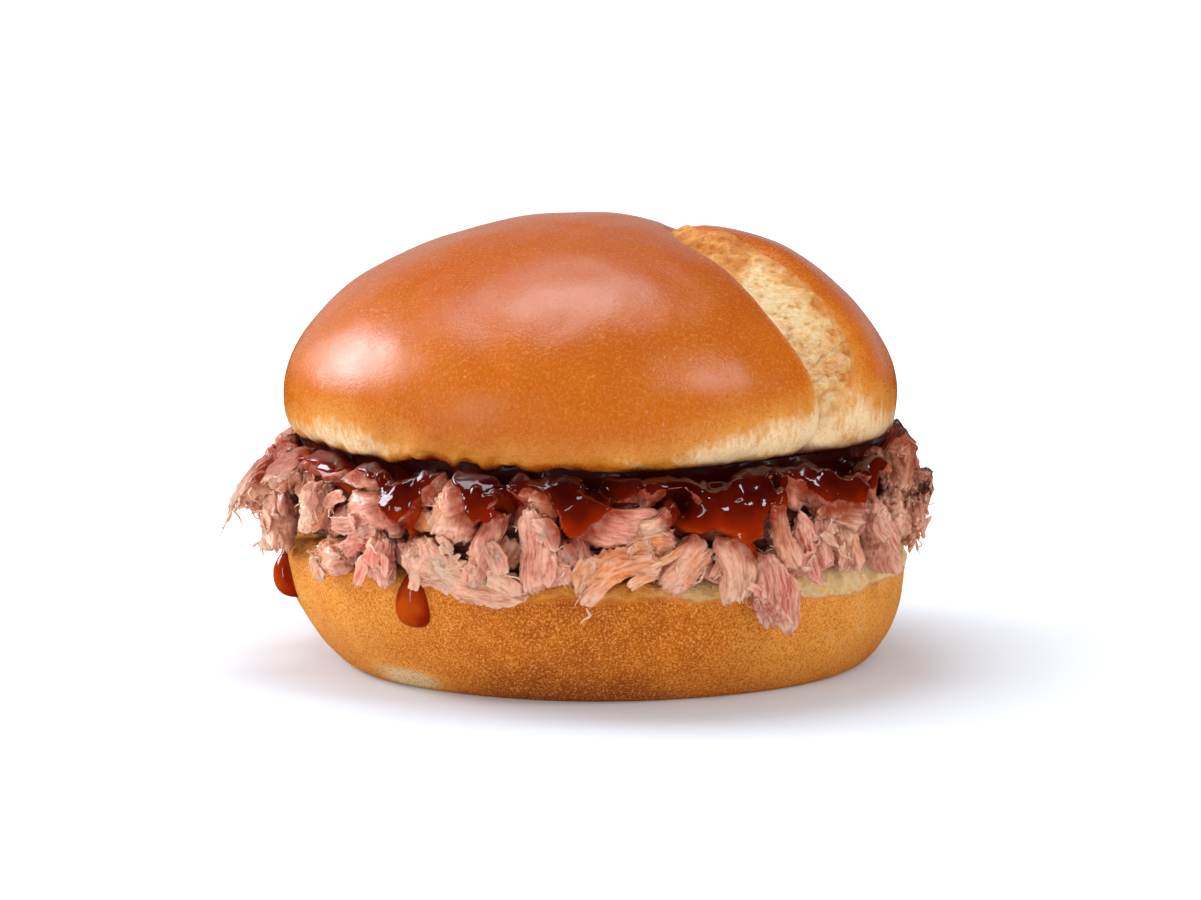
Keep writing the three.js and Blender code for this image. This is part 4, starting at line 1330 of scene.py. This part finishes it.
class SandwichLook(bpy.types.PropertyGroup):
    """Colours of the sandwich."""

    brown_crust: colour_property("Brown crust", "The crown's top", (0.47, 0.088, 0.006))
    amber_crust: colour_property("Amber crust", "The crown's flanks", (0.59, 0.132, 0.003))
    golden_crust: colour_property("Golden crust", "Where the crown is less baked", (0.74, 0.27, 0.030))
    pale_crust: colour_property("Pale crust", "The crown's lower edge", (0.92, 0.66, 0.36))
    crumb: colour_property("Crumb", "The soft inside of the roll", (0.98, 0.72, 0.40))
    crumb_shadow: colour_property("Deep crumb", "The crumb's pores", (0.96, 0.54, 0.18))
    wet_crumb: colour_property("Wet crumb", "Crumb that juices have soaked", (0.95, 0.52, 0.10))
    heel_light: colour_property("Light heel", "The heel's paler crust", (0.92, 0.34, 0.045))
    heel_gold: colour_property("Golden heel", "The heel's crust", (0.72, 0.185, 0.009))
    heel_brown: colour_property("Brown heel", "The heel's darkest crust", (0.40, 0.070, 0.002))
    heel_speck: colour_property("Heel speckle", "Fine flour-pale points on the heel", (0.95, 0.47, 0.11))
    pork_cream: colour_property("Pale pork", "Edges and fibres that catch the light", (0.93, 0.54, 0.40))
    pork_pink: colour_property("Pink pork", "Blotches of rosy meat", (0.64, 0.20, 0.15))
    pork_shadow: colour_property("Deep pork", "Grooves between the fibres", (0.30, 0.075, 0.030))
    bark_brown: colour_property("Bark", "Crisp brown outside of the roast", (0.13, 0.03, 0.010))
    bark_black: colour_property("Char", "The darkest points", (0.012, 0.006, 0.004))
    sauce_amber: colour_property("Thin sauce", "A film of sauce", (0.50, 0.064, 0.004))
    sauce_red: colour_property("Red sauce", "A thin layer of sauce", (0.31, 0.017, 0.001))
    sauce_maroon: colour_property("Deep sauce", "A layer of sauce", (0.11, 0.006, 0.001))
    sauce_black: colour_property("Darkest sauce", "Pooled sauce", (0.032, 0.0015, 0.001))


class SandwichFilling(bpy.types.PropertyGroup):
    """Sizes of the pork and the sauce."""

    scraps: IntProperty(name="Scraps", description="Small shreds all over the heap", min=1, default=125)
    flakes: IntProperty(
        name="Flakes", description="Thin flakes that lift off each large shred", min=1, default=3
    )
    threads: IntProperty(name="Threads", description="Loose single fibres", min=20, default=900)
    film: FloatProperty(
        name="Sauce film", description="How thick sauce lies on the meat's peaks", subtype="DISTANCE",
        unit="LENGTH", default=0.35 * MM,
    )
    drop: FloatProperty(
        name="Drop", description="How thick the drops on the heel are", subtype="DISTANCE", unit="LENGTH",
        default=4.2 * MM,
    )


class SandwichStage(bpy.types.PropertyGroup):
    """The camera and the light."""

    distance: FloatProperty(
        name="Camera distance", description="From the sandwich's middle", subtype="DISTANCE", default=0.9
    )
    elevation: FloatProperty(
        name="Camera height", description="Angle of the view above the horizontal", subtype="ANGLE",
        default=math.radians(8.5),
    )
    lens: FloatProperty(name="Lens", description="Focal length in millimetres", default=151.35)
    room: FloatProperty(name="Room light", description="Strength of the light from all round", default=1.0)
    floor_glow: FloatProperty(
        name="Floor glow", description="Light that the white floor gives off", default=0.7
    )
    floor_shade: FloatProperty(
        name="Floor glow near the sandwich", description="The same, where the shadow falls", default=0.12
    )
    softboxes: FloatProperty(name="Softboxes", description="Strength of the softboxes", default=1.0)


# ------------------------------------------------------------------ operators

class SANDWICH_OT_crown(bpy.types.Operator):
    """Builds the crown of the roll, with its main lobe folded over the second"""

    bl_idname = "sandwich.crown"
    bl_label = "Crown"

    def execute(self, context):
        look = context.scene.sandwich_look
        finish = crust_finish(look)
        make_piece("crown_main_lobe", main_lobe_skin(), finish, ["top_bun"])
        make_piece("crown_second_lobe", second_lobe_skin(), finish)
        return {"FINISHED"}


class SANDWICH_OT_heel(bpy.types.Operator):
    """Builds the heel of the roll"""

    bl_idname = "sandwich.heel"
    bl_label = "Heel"

    def execute(self, context):
        make_piece("heel", heel_skin(), heel_finish(context.scene.sandwich_look), ["bottom_bun"])
        return {"FINISHED"}


class SANDWICH_OT_pork(bpy.types.Operator):
    """Builds the heap of pulled pork: its middle, the shreds, small scraps and loose threads"""

    bl_idname = "sandwich.pork"
    bl_label = "Pulled pork"

    def execute(self, context):
        finish, sizes = pork_finish(context.scene.sandwich_look), context.scene.sandwich_filling
        front, back = FRONT_SHREDS, back_shreds()
        skins = {
            "shreds_left": shred_skin(front[:LEFT_ONES], FRONT_FINE, 101),
            "shreds_right": shred_skin(front[LEFT_ONES:], FRONT_FINE, 102),
            "shreds_back": shred_skin(back, BACK_FINE, 103),
            "top_row": shred_skin(drawn_shreds(TOP_ROW_COUNT, 108, *TOP_ROW), ROW_FINE, 108),
            "scraps": shred_skin(drawn_shreds(sizes.scraps, 104, *SCRAPS), SCRAP_FINE, 104, ragged=1.3),
            "flakes": shred_skin(
                flakes(front + back, sizes.flakes, 105), SCRAP_FINE, 105, ragged=1.4, lift=0.22
            ),
        }
        skins["threads"] = loose_threads(np.vstack([skin[0] for skin in skins.values()]), sizes.threads, 106)
        make_piece("pork_core", pork_core_skin(), finish, ["pulled_pork"])
        for name, skin in skins.items():
            make_piece("pork_" + name, skin, finish)
        return {"FINISHED"}


class SANDWICH_OT_sauce(bpy.types.Operator):
    """Lays barbecue sauce over the pork and sets drops of it on the heel's side"""

    bl_idname = "sandwich.sauce"
    bl_label = "Barbecue sauce"

    def execute(self, context):
        finish, sizes = sauce_finish(context.scene.sandwich_look), context.scene.sandwich_filling
        make_piece("sauce_layer", sauce_skin(heap_tree(), sizes.film / MM), finish, ["barbecue_sauce"])
        nodes = ("sauce_drop_front", "sauce_drop_left", "sauce_drop_back", "sauce_drop_back_left")
        for node, drop in zip(nodes, DROPS):
            make_piece("run_" + node, drop_skin(*drop, sizes.drop / MM), finish, [node])
        return {"FINISHED"}


class SANDWICH_OT_stage(bpy.types.Operator):
    """Sets up the floor, the lights and the camera"""

    bl_idname = "sandwich.stage"
    bl_label = "Stage"

    def execute(self, context):
        stage = context.scene.sandwich_stage
        add_floor(stage)
        add_camera(stage)
        context.scene.world = studio_room(stage.room)
        context.scene.view_settings.view_transform = "Standard"
        for name, place, width, height, brightness in SOFTBOXES:
            add_softbox(name, place, width, height, brightness * stage.softboxes)
        return {"FINISHED"}


OPERATORS = (SANDWICH_OT_heel, SANDWICH_OT_pork, SANDWICH_OT_sauce, SANDWICH_OT_crown, SANDWICH_OT_stage)


class SANDWICH_PT_panel(bpy.types.Panel):
    """Lists the steps and the values that a user can change"""

    bl_label = "Pulled pork sandwich"
    bl_idname = "SANDWICH_PT_panel"
    bl_space_type = "VIEW_3D"
    bl_region_type = "UI"
    bl_category = "Sandwich"

    def draw(self, context):
        for operator in OPERATORS:
            self.layout.operator(operator.bl_idname)
        scene = context.scene
        for group in (scene.sandwich_look, scene.sandwich_filling, scene.sandwich_stage):
            for name in group.bl_rna.properties.keys():
                if name not in ("rna_type", "name"):
                    self.layout.prop(group, name)


CLASSES = (SandwichLook, SandwichFilling, SandwichStage, *OPERATORS, SANDWICH_PT_panel)


def register():
    for item in CLASSES:
        bpy.utils.register_class(item)
    bpy.types.Scene.sandwich_look = PointerProperty(type=SandwichLook)
    bpy.types.Scene.sandwich_filling = PointerProperty(type=SandwichFilling)
    bpy.types.Scene.sandwich_stage = PointerProperty(type=SandwichStage)


def unregister():
    del bpy.types.Scene.sandwich_look
    del bpy.types.Scene.sandwich_filling
    del bpy.types.Scene.sandwich_stage
    for item in reversed(CLASSES):
        bpy.utils.unregister_class(item)


def main():
    """Builds the sandwich and its stage."""
    register()
    for step in ("heel", "pork", "sauce", "crown", "stage"):
        getattr(bpy.ops.sandwich, step)()


if __name__ == "__main__":
    main()
